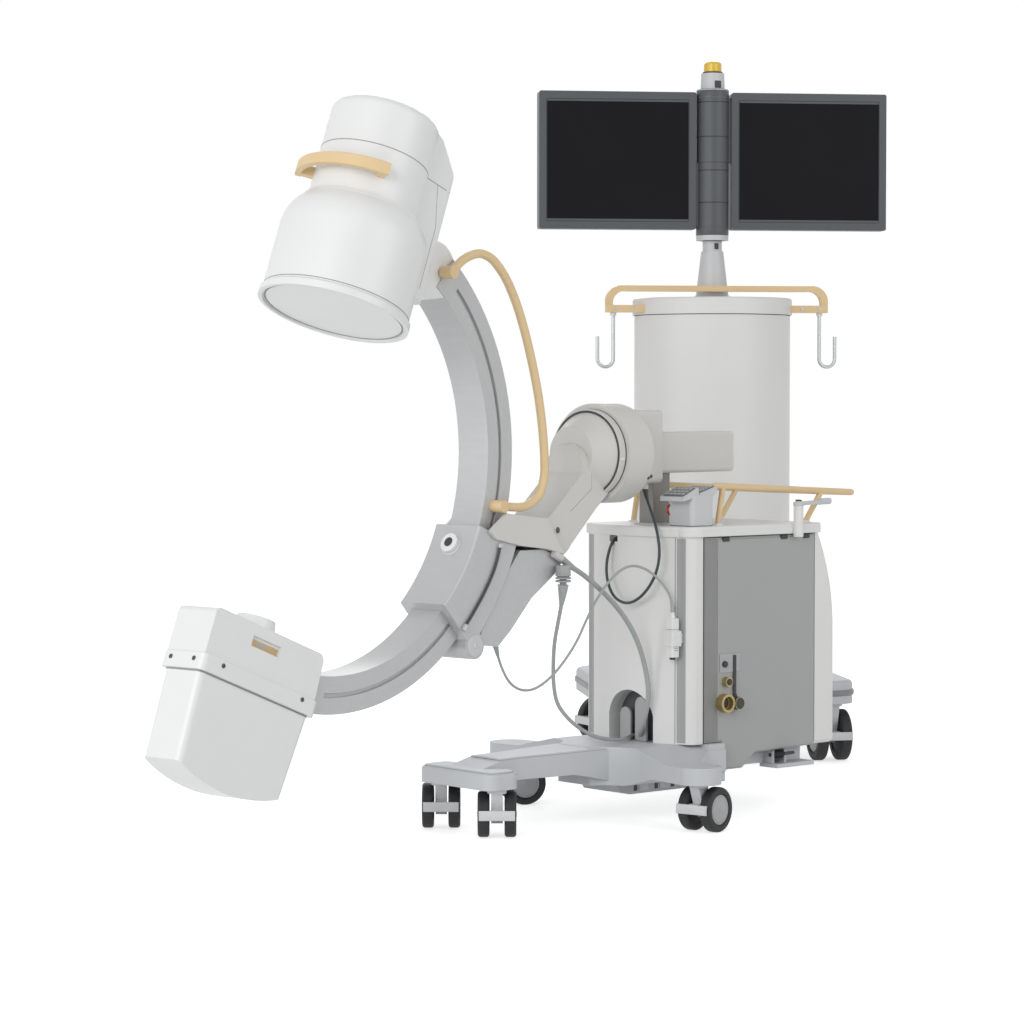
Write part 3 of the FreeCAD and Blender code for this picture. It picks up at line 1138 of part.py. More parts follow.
stand_castors()
base_casting()
brake_pedal()
cabinet_frame()
front_cover()
side_panels()
rear_cover()
top_deck()
steering_lever()
push_handle()
console()
hand_switch()
connectors()
lift_column()
swivel_head()
rotation_housing()
l_arm()
carriage()
c_arc()
detector()
detector_handle()
tube_upper_cover()
tube_lower_cover()
grab_bar()
cords()
station_castors()
station_body()
station_handle()
monitors()
finish()
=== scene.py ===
import json
import math

import bmesh
import bpy
import numpy as np
from mathutils import Matrix


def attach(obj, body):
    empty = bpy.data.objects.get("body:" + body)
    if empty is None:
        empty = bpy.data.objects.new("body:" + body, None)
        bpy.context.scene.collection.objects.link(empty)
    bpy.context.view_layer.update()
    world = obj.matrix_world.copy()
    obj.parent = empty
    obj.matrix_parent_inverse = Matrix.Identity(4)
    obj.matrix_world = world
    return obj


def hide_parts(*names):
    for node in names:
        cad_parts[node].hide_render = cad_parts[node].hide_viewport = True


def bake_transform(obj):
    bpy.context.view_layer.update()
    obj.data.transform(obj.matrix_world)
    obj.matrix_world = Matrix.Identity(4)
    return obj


# Mobile C-arm x-ray stand and its viewing station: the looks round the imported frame.
# Local shapes are worked out in millimetres, and each frame below brings them into the row frame in metres.

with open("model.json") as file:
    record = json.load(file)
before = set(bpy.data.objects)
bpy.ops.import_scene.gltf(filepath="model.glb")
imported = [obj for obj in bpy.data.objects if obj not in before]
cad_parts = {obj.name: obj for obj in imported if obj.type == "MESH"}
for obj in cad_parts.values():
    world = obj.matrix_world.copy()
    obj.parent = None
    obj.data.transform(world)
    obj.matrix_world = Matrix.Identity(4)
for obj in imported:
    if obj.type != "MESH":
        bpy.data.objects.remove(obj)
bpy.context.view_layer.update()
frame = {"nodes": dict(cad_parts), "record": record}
nodes = frame["nodes"]


def shift(x, y, z=0.0):
    return np.array(Matrix.Translation((x, y, z)))


def spin(degrees, axis):
    return np.array(Matrix.Rotation(math.radians(degrees), 4, axis))


# frames of the object, each a 4 by 4 matrix from local millimetres to the row frame
COLUMN_X = 150.0
ARM_YAW = 8.0
STATION_YAW = -34.0
TILT = 21.3
ARC_AHEAD = 1124.0
AXIS_Z = 865.0
ARC_Z = 877.0
STAND = np.diag([0.001, 0.001, 0.001, 1.0]) @ shift(-68.0, -393.0)
HEAD = STAND @ shift(COLUMN_X, 0.0) @ spin(ARM_YAW, "Z")
ARC = HEAD @ shift(-ARC_AHEAD, 0.0, ARC_Z)
BEAM = ARC @ spin(TILT, "Y")
STATION = STAND @ shift(1091.0, 753.0) @ spin(STATION_YAW, "Z")


def carried(points, place):
    """points in a frame: each row vector times the turned part of the matrix, plus its shift"""
    points = np.asarray(points, float)
    return points @ place[:3, :3].T + place[:3, 3]


# camera at the photograph's place
camera_data = bpy.data.cameras.new("photo_camera")
camera_data.lens = 105.47
camera_data.sensor_width = 36.0
camera = bpy.data.objects.new("photo_camera", camera_data)
camera.location = (-4.90524, -5.60801, 0.99061)
camera.rotation_euler = (math.radians(87.86), 0.0, math.radians(-41.0))
bpy.context.scene.collection.objects.link(camera)
bpy.context.scene.camera = camera
bpy.context.scene.view_settings.view_transform = "Standard"


def linear(red, green, blue):
    """screen colour from 0 to 255 as linear light: the share of 255 to the power 2.2"""
    return [(c / 255.0) ** 2.2 for c in (red, green, blue)] + [1.0]


def node(tree, kind, inputs=(), **settings):
    """adds a shader node, sets its properties, and links or sets each named or numbered input"""
    made = tree.nodes.new(kind)
    for key, value in settings.items():
        setattr(made, key, value)
    for key, value in dict(inputs).items():
        if isinstance(value, bpy.types.NodeSocket):
            tree.links.new(value, made.inputs[key])
        else:
            made.inputs[key].default_value = value
    return made


def sockets(tree, inputs, outputs):
    """gives a shader group its sockets: inputs with their usual values, outputs with their kinds"""
    for name, value in inputs.items():
        socket = tree.interface.new_socket(name, in_out="INPUT", socket_type="NodeSocketFloat")
        socket.default_value = value
    for name, kind in outputs.items():
        tree.interface.new_socket(name, in_out="OUTPUT", socket_type=kind)
    return tree.nodes.new("NodeGroupInput"), tree.nodes.new("NodeGroupOutput")


def moulded_grain():
    """fine orange peel for the bump, slow clouds for the colour, and patches for the gloss"""
    tree = bpy.data.node_groups.new("moulded_grain", "ShaderNodeTree")
    given, out = sockets(tree, {"Scale": 900.0}, {"Height": "NodeSocketFloat", "Clouds": "NodeSocketFloat",
                                                  "Patches": "NodeSocketFloat"})
    place = node(tree, "ShaderNodeTexCoord").outputs["Object"]
    peel = node(tree, "ShaderNodeTexNoise", {"Vector": place, "Scale": given.outputs["Scale"], "Detail": 3.0})
    clouds = node(tree, "ShaderNodeTexNoise", {"Vector": place, "Scale": 3.5, "Detail": 4.0})
    patches = node(tree, "ShaderNodeTexNoise", {"Vector": place, "Scale": 22.0, "Detail": 6.0,
                                                "Roughness": 0.65})
    for name, source in (("Height", peel), ("Clouds", clouds), ("Patches", patches)):
        tree.links.new(source.outputs["Fac"], out.inputs[name])
    return tree


def drawn_grain():
    """fine streaks drawn along local X, Y or Z, whichever of the three scales is small"""
    tree = bpy.data.node_groups.new("drawn_grain", "ShaderNodeTree")
    given, out = sockets(tree, {"Along X": 900.0, "Along Y": 900.0, "Along Z": 12.0},
                         {"Height": "NodeSocketFloat", "Streaks": "NodeSocketFloat"})
    place = node(tree, "ShaderNodeTexCoord").outputs["Object"]
    scale = node(tree, "ShaderNodeCombineXYZ", {"X": given.outputs["Along X"], "Y": given.outputs["Along Y"],
                                                "Z": given.outputs["Along Z"]})
    stretched = node(tree, "ShaderNodeVectorMath", {0: place, 1: scale.outputs[0]}, operation="MULTIPLY")
    fine = node(tree, "ShaderNodeTexNoise", {"Vector": stretched.outputs[0], "Scale": 1.0, "Detail": 2.0})
    broad = node(tree, "ShaderNodeTexNoise", {"Vector": stretched.outputs[0], "Scale": 0.17, "Detail": 3.0})
    tree.links.new(fine.outputs["Fac"], out.inputs["Height"])
    tree.links.new(broad.outputs["Fac"], out.inputs["Streaks"])
    return tree


def eased_edges():
    """normal rounded over sharp edges, and a mask that is 1 where it leaves the flat face's normal"""
    tree = bpy.data.node_groups.new("eased_edges", "ShaderNodeTree")
    given, out = sockets(tree, {"Radius": 0.0012}, {"Normal": "NodeSocketVector", "Edge": "NodeSocketFloat"})
    soft = node(tree, "ShaderNodeBevel", {"Radius": given.outputs["Radius"]}, samples=4)
    flat = node(tree, "ShaderNodeNewGeometry").outputs["Normal"]
    agree = node(tree, "ShaderNodeVectorMath", {0: soft.outputs[0], 1: flat}, operation="DOT_PRODUCT")
    edge = node(tree, "ShaderNodeMapRange", {"Value": agree.outputs["Value"], "From Min": 1.0,
                                             "From Max": 0.75})
    tree.links.new(soft.outputs[0], out.inputs["Normal"])
    tree.links.new(edge.outputs[0], out.inputs["Edge"])
    return tree


def floor_grime():
    """mask of settled dirt: strong near the floor, fading out by the given height, broken up by noise"""
    tree = bpy.data.node_groups.new("floor_grime", "ShaderNodeTree")
    given, out = sockets(tree, {"Height": 0.14}, {"Grime": "NodeSocketFloat"})
    place = node(tree, "ShaderNodeTexCoord").outputs["Object"]
    up = node(tree, "ShaderNodeSeparateXYZ", {0: place})
    fade = node(tree, "ShaderNodeMapRange", {"Value": up.outputs["Z"], "From Min": given.outputs["Height"],
                                             "From Max": 0.0})
    spots = node(tree, "ShaderNodeTexNoise", {"Vector": place, "Scale": 46.0, "Detail": 8.0,
                                              "Roughness": 0.7})
    spread = node(tree, "ShaderNodeMapRange", {"Value": spots.outputs["Fac"], "From Min": 0.35,
                                               "From Max": 0.75})
    both = node(tree, "ShaderNodeMath", {0: fade.outputs[0], 1: spread.outputs[0]}, operation="MULTIPLY")
    tree.links.new(both.outputs[0], out.inputs["Grime"])
    return tree


def fine_scratches():
    """mask of thin hairline scratches: the narrow band where a warped noise crosses its middle value"""
    tree = bpy.data.node_groups.new("fine_scratches", "ShaderNodeTree")
    given, out = sockets(tree, {"Scale": 9.0}, {"Scratch": "NodeSocketFloat"})
    place = node(tree, "ShaderNodeTexCoord").outputs["Object"]
    lines = node(tree, "ShaderNodeTexNoise", {"Vector": place, "Scale": given.outputs["Scale"], "Detail": 1.0,
                                              "Distortion": 2.2})
    off = node(tree, "ShaderNodeMath", {0: lines.outputs["Fac"], 1: 0.5}, operation="SUBTRACT")
    size = node(tree, "ShaderNodeMath", {0: off.outputs[0]}, operation="ABSOLUTE")
    line = node(tree, "ShaderNodeMapRange", {"Value": size.outputs[0], "From Min": 0.0035, "From Max": 0.0})
    where = node(tree, "ShaderNodeTexNoise", {"Vector": place, "Scale": 5.0, "Detail": 2.0})
    rare = node(tree, "ShaderNodeMapRange", {"Value": where.outputs["Fac"], "From Min": 0.52,
                                             "From Max": 0.66})
    both = node(tree, "ShaderNodeMath", {0: line.outputs[0], 1: rare.outputs[0]}, operation="MULTIPLY")
    tree.links.new(both.outputs[0], out.inputs["Scratch"])
    return tree


MOULDED = moulded_grain()
DRAWN = drawn_grain()
EASED = eased_edges()
GRIME = floor_grime()
SCRATCH = fine_scratches()


def group(tree, kind, **values):
    """places a shader group in a material with its own values"""
    made = tree.nodes.new("ShaderNodeGroup")
    made.node_tree = kind
    for key, value in values.items():
        made.inputs[key.replace("_", " ")].default_value = value
    return made


def blended(tree, share, low, high):
    """colour that runs from low to high by a share"""
    mix = tree.nodes.new("ShaderNodeMix")
    mix.data_type = "RGBA"
    for index, value in ((0, share), (6, low), (7, high)):
        if isinstance(value, bpy.types.NodeSocket):
            tree.links.new(value, mix.inputs[index])
        else:
            mix.inputs[index].default_value = value
    return mix.outputs[2]


def shaded(colour, factor):
    """the same colour with its light multiplied"""
    return [min(1.0, c * factor) for c in colour[:3]] + [1.0]


def scaled(tree, value, low, high):
    """a 0 to 1 value brought to the range from low to high"""
    return node(tree, "ShaderNodeMapRange", {"Value": value, "To Min": low, "To Max": high}).outputs[0]


def finish(name, colour, rough, metal=0.0, grain=900.0, depth=0.00005, tone=0.05, streaks=None, edge=0.0012,
           edge_highlight=1.12, grime=0.0, scratches=0.0, coat=0.0, specular=0.5):
    """a surface finish: clouded colour, patchy gloss, grain in the bump, eased edges lightened by a painted
    highlight, wear and floor dirt
    """
    material = bpy.data.materials.new(name)
    material.use_nodes = True
    tree = material.node_tree
    surface = tree.nodes["Principled BSDF"]
    if streaks:
        pattern = group(tree, DRAWN, Along_X=streaks[0], Along_Y=streaks[1], Along_Z=streaks[2])
        clouds = pattern.outputs["Streaks"]
        patches = pattern.outputs["Streaks"]
    else:
        pattern = group(tree, MOULDED, Scale=grain)
        clouds = pattern.outputs["Clouds"]
        patches = pattern.outputs["Patches"]
    shade = blended(tree, scaled(tree, clouds, 0.0, 1.0), shaded(colour, 1.0 - tone),
                    shaded(colour, 1.0 + tone))
    gloss = scaled(tree, patches, rough - 0.06, rough + 0.08)
    normal = None
    if edge:
        eased = group(tree, EASED, Radius=edge)
        normal = eased.outputs["Normal"]
        # painted highlight: the colour is lightened along sharp edges, where light would catch the eased edge
        shade = blended(tree, scaled(tree, eased.outputs["Edge"], 0.0, 0.6), shade, shaded(colour, edge_highlight))
    if scratches:
        hair = group(tree, SCRATCH)
        shade = blended(tree, scaled(tree, hair.outputs["Scratch"], 0.0, scratches), shade,
                        shaded(colour, 1.3))
    if grime:
        dirt = group(tree, GRIME, Height=grime)
        shade = blended(tree, scaled(tree, dirt.outputs["Grime"], 0.0, 0.35), shade, linear(92, 88, 82))
        gloss = node(tree, "ShaderNodeMath", {0: gloss, 1: scaled(tree, dirt.outputs["Grime"], 0.0, 0.25)},
                     operation="ADD").outputs[0]
    bump = node(tree, "ShaderNodeBump", {"Height": pattern.outputs["Height"], "Strength": 0.6,
                                         "Distance": depth})
    if normal:
        tree.links.new(normal, bump.inputs["Normal"])
    tree.links.new(shade, surface.inputs["Base Color"])
    tree.links.new(gloss, surface.inputs["Roughness"])
    tree.links.new(bump.outputs[0], surface.inputs["Normal"])
    surface.inputs["Metallic"].default_value = metal
    surface.inputs["Coat Weight"].default_value = coat
    surface.inputs["Coat Roughness"].default_value = 0.12
    surface.inputs["Specular IOR Level"].default_value = specular
    return material


def lit_glass(name, colour, rough):
    """display glass: near black, with a faint slow sheen in its colour and a smooth coat"""
    material = bpy.data.materials.new(name)
    material.use_nodes = True
    tree = material.node_tree
    surface = tree.nodes["Principled BSDF"]
    pattern = group(tree, MOULDED, Scale=2400.0)
    shade = blended(tree, pattern.outputs["Clouds"], shaded(colour, 0.7), shaded(colour, 1.5))
    tree.links.new(shade, surface.inputs["Base Color"])
    tree.links.new(scaled(tree, pattern.outputs["Patches"], rough, rough + 0.06), surface.inputs["Roughness"])
    surface.inputs["Specular IOR Level"].default_value = 0.12
    surface.inputs["Coat Weight"].default_value = 0.03
    surface.inputs["Coat Roughness"].default_value = 0.05
    return material


FINISH = {
    "housing": finish("satin_white_moulding", linear(232, 233, 233), 0.36, grain=1100.0, tone=0.03,
                      coat=0.08),
    "cover": finish("white_textured_cover", linear(228, 228, 227), 0.42, grain=1500.0, tone=0.035,
                    scratches=0.15),
    "panel": finish("grey_side_sheet", linear(166, 167, 167), 0.46, grain=1800.0, tone=0.045, scratches=0.2),
    "grey_metal": finish("light_grey_paint", linear(202, 204, 206), 0.4, grain=1300.0, tone=0.04),
    "arc_metal": finish("arc_grey_anodised", linear(186, 187, 188), 0.4, metal=0.25,
                        streaks=(500.0, 12.0, 500.0), depth=0.00003, tone=0.06, scratches=0.2),
    "arm_metal": finish("warm_grey_cast_paint", linear(212, 211, 207), 0.44, grain=700.0, depth=0.00008,
                        tone=0.035, scratches=0.15),
    # the base paint carries a stronger painted highlight on its edges
    "casting": finish("silver_base_paint", linear(198, 201, 204), 0.52, metal=0.1, grain=1600.0, tone=0.05,
                      edge=0.002, edge_highlight=1.2, grime=0.09, scratches=0.3, specular=0.2),
    "frame": finish("dark_inner_frame", linear(80, 82, 85), 0.6, grain=900.0),
    "steel": finish("brushed_steel", linear(186, 188, 190), 0.32, metal=0.75, streaks=(700.0, 700.0, 9.0),
                    tone=0.08),
    "tan": finish("tan_moulded_grip", linear(226, 198, 152), 0.42, grain=1200.0, tone=0.04, depth=0.00007,
                  edge=0.0),
    "dark": finish("dark_moulding", linear(48, 50, 52), 0.5, grain=1600.0, tone=0.12),
    # the graphite bezel carries a strong painted highlight on its edges
    "bezel": finish("graphite_bezel", linear(78, 82, 86), 0.42, grain=2000.0, tone=0.08, edge_highlight=1.7),
    "screen": lit_glass("display_glass", linear(24, 24, 28), 0.2),
    "lamp": finish("yellow_lamp_cap", linear(228, 186, 22), 0.25, grain=600.0, tone=0.08, coat=0.5, edge=0.0),
    "brass": finish("turned_brass", linear(168, 150, 104), 0.36, metal=0.7, streaks=(900.0, 20.0, 900.0),
                    tone=0.14),
    "tyre": finish("black_castor_tread", linear(34, 35, 37), 0.62, grain=700.0, depth=0.0001, tone=0.15,
                   grime=0.05, edge=0.0),
    "red": finish("red_stop_cap", linear(196, 34, 28), 0.3, grain=700.0, tone=0.06, coat=0.4),
    "cable_grey": finish("grey_cable_jacket", linear(164, 167, 167), 0.45, grain=900.0, tone=0.06, edge=0.0),
    "cable_dark": finish("dark_cable_jacket", linear(58, 66, 68), 0.45, grain=900.0, tone=0.1, edge=0.0),
}
CASTOR_SILVER = finish("castor_silver_moulding", linear(214, 216, 217), 0.36, grain=1400.0, tone=0.05,
                       grime=0.07)
HUB_GREY = finish("castor_hub_grey", linear(172, 175, 177), 0.42, grain=1500.0, tone=0.06, grime=0.06)
SEAM = finish("shadow_gap", linear(74, 76, 78), 0.7, grain=1500.0, edge=0.0)
SOFT_SEAM = finish("parting_line", linear(150, 152, 153), 0.6, grain=1500.0, edge=0.0)
STRIP_GREY = finish("recessed_grey_strip", linear(138, 139, 138), 0.5, grain=1800.0, tone=0.05)
AMBER = finish("amber_window", linear(196, 168, 116), 0.35, grain=260.0, tone=0.35, depth=0.00004, coat=0.3)
# painted shade: the lift column's steel is darkened to stand in for the shade on its near side
COLUMN_SHADED_STEEL = finish("column_steel_painted_shade", linear(134, 132, 128), 0.36, metal=0.4, streaks=(700.0, 700.0, 9.0))
KEY_GREY = finish("console_key_grey", linear(172, 174, 176), 0.4, grain=1500.0, tone=0.08)
KEY_PANEL = finish("console_key_panel", linear(100, 104, 108), 0.38, grain=1500.0, tone=0.06)

for row in frame["record"]["subparts"]:
    slots = nodes[row["node"]].data.materials
    slots.clear()
    slots.append(FINISH[row["material_slot"]])
for name in nodes:
    if name.endswith("_fork"):
        nodes[name].data.materials[0] = CASTOR_SILVER
nodes["console"].data.materials[0] = FINISH["grey_metal"]
nodes["hand_switch"].data.materials[0] = FINISH["housing"]
# the lift column takes the steel darkened with painted shade
nodes["lift_column"].data.materials[0] = COLUMN_SHADED_STEEL


# cables: one smooth spline each, along the route of its tube
def arm_point(along, across, up):
    """a point of the arc's frame, in millimetres of the stand"""
    return tuple(carried([(along, across, up)], np.linalg.inv(STAND) @ ARC)[0])


LOOP_START = tuple(carried([(-81.0, -35.0, AXIS_Z - 86.0)], np.linalg.inv(STAND) @ HEAD)[0])
LOOP_ROUTE = [LOOP_START, (LOOP_START[0] - 6, LOOP_START[1] - 14, 752), (56, -88, 726), (42, -122, 684),
              (38, -137, 629), (36, -124, 577), (31, -88, 530), (28, -38, 505), (30, 14, 518), (34, 42, 556),
              (38, 50, 597), (43, 44, 634), (54, 41, 656), (74, 40, 660)]
HOSE_ROUTE = [arm_point(692, -70, -248), (-234, -125, 609), (-200, -120, 594), (-167, -115, 576),
              (-110, -107, 540), (-60, -100, 502), (-20, -97, 460), (12, -94, 412), (36, -91, 354),
              (46, -92, 294), (45, -78, 236), (52, -54, 202), (70, -36, 191), (98, -26, 189)]
SWITCH_ROUTE = [(66, -150, 492), (65, -150, 514), (56, -146, 540), (36, -136, 570), (4, -124, 596),
                (-40, -122, 606), (-82, -124, 594), (-122, -126, 566), (-156, -125, 528), (-182, -122, 486),
                (-206, -119, 440), (-236, -113, 398), (-274, -104, 356), (-318, -97, 330), (-364, -100, 330),
                (-404, -106, 350), (-430, -111, 384), (-445, -113.5, 415), arm_point(511, -30, -439)]
PLUGGED_ROUTE = [(-272, -141, 570), (-272, -138, 534), (-264, -116, 486), (-258, -95, 435), (-248, -80, 382),
                 (-241, -73, 334), (-226, -68, 288), (-196, -74, 252), (-156, -76, 224), (-110, -74, 204),
                 (-60, -68, 194), (-8, -52, 188), (36, -24, 186), (70, -2, 187), (98, 6, 188)]
THIN_ROUTE = [arm_point(a, -70, up) for a, up in ((481, -216), (476, -233), (462, -266), (438, -302),
                                                  (406, -342), (368, -382))]
# each cable's name, solid, route, radius, material slot and lay, and two points of its stretch or None:
# a cable with a stretch is made a plain mesh, and one without rides on the turning arm
CABLES = [
    ("cable_loop", "cord_loop", LOOP_ROUTE, 3.5, "cable_dark", "hanging", ((34, 40, 600), (34, -112, 600))),
    ("cable_hose", "cord_hose", HOSE_ROUTE, 6.0, "cable_grey", "hanging", ((0, -90, 230), (0, -90, 600))),
    ("cable_switch", "cord_switch", SWITCH_ROUTE, 3.0, "cable_grey", "hanging",
     ((50, -110, 500), (-420, -110, 500))),
    ("cable_plugged", "cord_plugged", PLUGGED_ROUTE, 4.5, "cable_grey", "hanging",
     ((0, -90, 230), (0, -90, 540))),
    ("cable_thin", "cord_thin", THIN_ROUTE, 3.0, "cable_dark", "taut", None),
]


def evaluated_mesh(piece):
    """mesh of a curve as it is drawn now"""
    bpy.context.view_layer.update()
    return bpy.data.meshes.new_from_object(piece.evaluated_get(bpy.context.evaluated_depsgraph_get()))


def line_points(piece):
    """points of a curve's own line, read without its bevel"""
    bevel = piece.data.bevel_depth
    piece.data.bevel_depth = 0.0
    line = evaluated_mesh(piece)
    points = np.array([v.co for v in line.vertices])
    bpy.data.meshes.remove(line)
    piece.data.bevel_depth = bevel
    return points


def smooth_cable(name, route, radius, material):
    """a smooth spline with the route as its control points, each of which holds the radius in metres"""
    points = carried(route, STAND)
    curve = bpy.data.curves.new(name, "CURVE")
    curve.dimensions = "3D"
    curve.resolution_u = 10
    curve.bevel_depth = 1.0
    curve.bevel_resolution = 5
    curve.use_fill_caps = True
    spline = curve.splines.new("NURBS")
    spline.points.add(len(points) - 1)
    spline.points.foreach_set("co", np.hstack([points, np.ones((len(points), 1))]).ravel())
    spline.points.foreach_set("radius", np.full(len(points), radius / 1000.0))
    spline.order_u = 3
    spline.use_endpoint_u = True
    curve.materials.append(material)
    made = bpy.data.objects.new(name, curve)
    bpy.context.scene.collection.objects.link(made)
    return made


def stretching(piece, material, start, end):
    """the cable's skin as a plain mesh; start and end are not used"""
    name = piece.name
    skin = evaluated_mesh(piece)
    bpy.data.objects.remove(piece)
    skin.shade_smooth()
    skin.materials.clear()
    skin.materials.append(material)
    made = bpy.data.objects.new(name, skin)
    bpy.context.scene.collection.objects.link(made)
    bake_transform(made)
    return made


def cable(name, cad_node, route, radius, slot, stretch):
    """a cable with its material and slot, and the points of its line"""
    made = smooth_cable(name, route, radius, FINISH[slot])
    line = line_points(made)
    if stretch:
        made = stretching(made, FINISH[slot], *stretch)
    else:
        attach(made, "turning_arm")
    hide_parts(cad_node)
    return made, line


for name, cad_node, route, radius, slot, lay, stretch in CABLES:
    cable(name, cad_node, route, radius, slot, stretch)


# shapes: each part is its points and its faces, and a piece joins several parts
def grid_faces(rows, columns, around, along=False):
    """quads of a grid: a point, its neighbour in the row and the two after; around and along close it"""
    i = np.arange(rows if along else rows - 1)[:, None]
    j = np.arange(columns if around else columns - 1)[None, :]
    i2 = (i + 1) % rows
    j2 = (j + 1) % columns
    quads = np.stack([i * columns + j, i * columns + j2, i2 * columns + j2, i2 * columns + j], axis=-1)
    return quads.reshape(-1, 4).tolist()


def shell(grid, around=True, along=False, capped=True):
    """part from a rows by columns grid of points; the first and last rows are closed by flat faces"""
    rows, columns, _ = grid.shape
    faces = grid_faces(rows, columns, around, along)
    if capped and around and not along:
        faces.append(list(range(columns))[::-1])
        faces.append([(rows - 1) * columns + j for j in range(columns)])
    return grid.reshape(-1, 3), faces


def moved(part, place):
    return carried(part[0], place), part[1]


def lathe(profile, steps=48, closed=False):
    """surface of revolution about Z: x = r cos t, y = r sin t, z = h for each (r, h) of the profile"""
    r, h = np.array(profile, float).T
    t = np.linspace(0.0, 2.0 * math.pi, steps, endpoint=False)
    grid = np.stack([r[:, None] * np.cos(t), r[:, None] * np.sin(t), np.repeat(h[:, None], steps, axis=1)],
                    axis=-1)
    return shell(grid, along=closed, capped=not closed)


def rounded_outline(width, height, corner, steps=8):
    """rounded rectangle: quarter circles of the corner radius round the four inner corners"""
    t = np.linspace(0.0, math.pi / 2.0, steps)
    xs, ys = [], []
    for quarter, (sx, sy) in enumerate(((1, 1), (-1, 1), (-1, -1), (1, -1))):
        xs.append(sx * (width / 2.0 - corner) + corner * np.cos(t + quarter * math.pi / 2.0))
        ys.append(sy * (height / 2.0 - corner) + corner * np.sin(t + quarter * math.pi / 2.0))
    return np.stack([np.concatenate(xs), np.concatenate(ys)], axis=-1)


def plate(width, height, corner, profile, steps=8):
    """plate raised along Z: at each (inset, level) of the profile a rounded rectangle smaller by the inset"""
    rows = []
    for inset, level in profile:
        outline = rounded_outline(width - 2 * inset, height - 2 * inset, max(corner - inset, 0.2), steps)
        rows.append(np.column_stack([outline, np.full(len(outline), float(level))]))
    return shell(np.array(rows))


def pillow(width, height, corner, thick, ease, sunk=0.0):
    """plate with its upper edge eased by a quarter circle"""
    t = np.linspace(0.0, math.pi / 2.0, 5)
    steps = [(0.0, -sunk)] + [(ease * (1 - math.cos(a)), thick - ease * (1 - math.sin(a))) for a in t]
    return plate(width, height, corner, steps)


def tube(path, radius, sides=16, closed=False, up=(0.0, 0.0, 1.0)):
    """round tube: circles of the radius round each path point, square to the path's direction"""
    path = np.asarray(path, float)
    if closed:
        ahead = np.roll(path, -1, axis=0) - np.roll(path, 1, axis=0)
    else:
        ahead = np.gradient(path, axis=0)
    ahead /= np.linalg.norm(ahead, axis=1)[:, None]
    across = np.cross(np.broadcast_to(up, ahead.shape), ahead)
    across /= np.linalg.norm(across, axis=1)[:, None]
    over = np.cross(ahead, across)
    t = np.linspace(0.0, 2.0 * math.pi, sides, endpoint=False)
    size = np.broadcast_to(radius, len(path))[:, None, None]
    ring = np.cos(t)[None, :, None] * across[:, None, :] + np.sin(t)[None, :, None] * over[:, None, :]
    return shell(path[:, None, :] + size * ring, along=closed, capped=not closed)


def bar(outline, y0, y1, ease=0.0):
    """plate between y0 and y1 with an (x, z) outline, eased at its faces by shrinking towards the middle"""
    flat = np.array(outline, float)
    middle = flat.mean(axis=0)
    reach = np.abs(flat - middle).max()
    rows = []
    for y, inset in ((y0, ease), (y0 + ease, 0.0), (y1 - ease, 0.0), (y1, ease)):
        outer = middle + (flat - middle) * (1.0 - inset / reach)
        rows.append(np.column_stack([outer[:, 0], np.full(len(outer), y), outer[:, 1]]))
    return shell(np.array(rows))


def facing(origin, normal, up=(0.0, 0.0, 1.0)):
    """matrix that lays local X and Y on a face, with local Z along its normal"""
    z = np.array(normal, float)
    z /= np.linalg.norm(z)
    x = np.cross(up, z)
    x /= np.linalg.norm(x)
    place = np.eye(4)
    place[:3, 0] = x
    place[:3, 1] = np.cross(z, x)
    place[:3, 2] = z
    place[:3, 3] = origin
    return place


def piece(name, parts, material, body, slot, place=STAND, sharp=32.0):
    """joins parts into one mesh in the row frame, turns its faces outwards and lets it ride on its body"""
    points, faces = [], []
    for part_points, part_faces in parts:
        start = sum(len(p) for p in points)
        points.append(part_points)
        faces.extend([[start + i for i in face] for face in part_faces])
    mesh = bpy.data.meshes.new(name)
    mesh.from_pydata(carried(np.concatenate(points), place), [], faces)
    shape = bmesh.new()
    shape.from_mesh(mesh)
    bmesh.ops.recalc_face_normals(shape, faces=shape.faces)
    shape.to_mesh(mesh)
    shape.free()
    mesh.shade_smooth()
    mesh.set_sharp_from_angle(angle=math.radians(sharp))
    mesh.materials.append(material)
    made = bpy.data.objects.new(name, mesh)
    bpy.context.scene.collection.objects.link(made)
    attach(made, body)
    return made


def screw_part(radius, high=1.6):
    """pan head screw with a six-sided socket: inner rings take the radius of a hexagon at their angle"""
    steps = 48
    t = np.linspace(0.0, 2.0 * math.pi, steps, endpoint=False)
    hexagon = math.cos(math.pi / 6.0) / np.cos(np.mod(t, math.pi / 3.0) - math.pi / 6.0)
    rows = []
    for share, level, six in ((1.0, -0.4, 0), (1.0, high * 0.5, 0), (0.9, high * 0.85, 0), (0.7, high, 0),
                              (0.48, high, 1), (0.44, high * 0.35, 1)):
        r = radius * share * (hexagon if six else np.ones(steps))
        rows.append(np.stack([r * np.cos(t), r * np.sin(t), np.full(steps, level)], axis=-1))
    return shell(np.array(rows))


def screws(name, places, radius, material, body, slot, place=STAND):
    """screws at (origin, normal) places"""
    parts = [moved(screw_part(radius), facing(origin, normal, (0.0, 0.31, 0.95)))
             for origin, normal in places]
    return piece(name, parts, material, body, slot, place)


def ring_part(radius, level, width, proud):
    """thin ring round Z that stands proud of a turned surface"""
    half = width / 2.0
    flank = radius + proud * 0.7
    crest = radius + proud
    return lathe([(radius - 2.0, level - half), (flank, level - half), (crest, level - half * 0.4),
                  (crest, level + half * 0.4), (flank, level + half), (radius - 2.0, level + half)],
                 steps=96, closed=True)


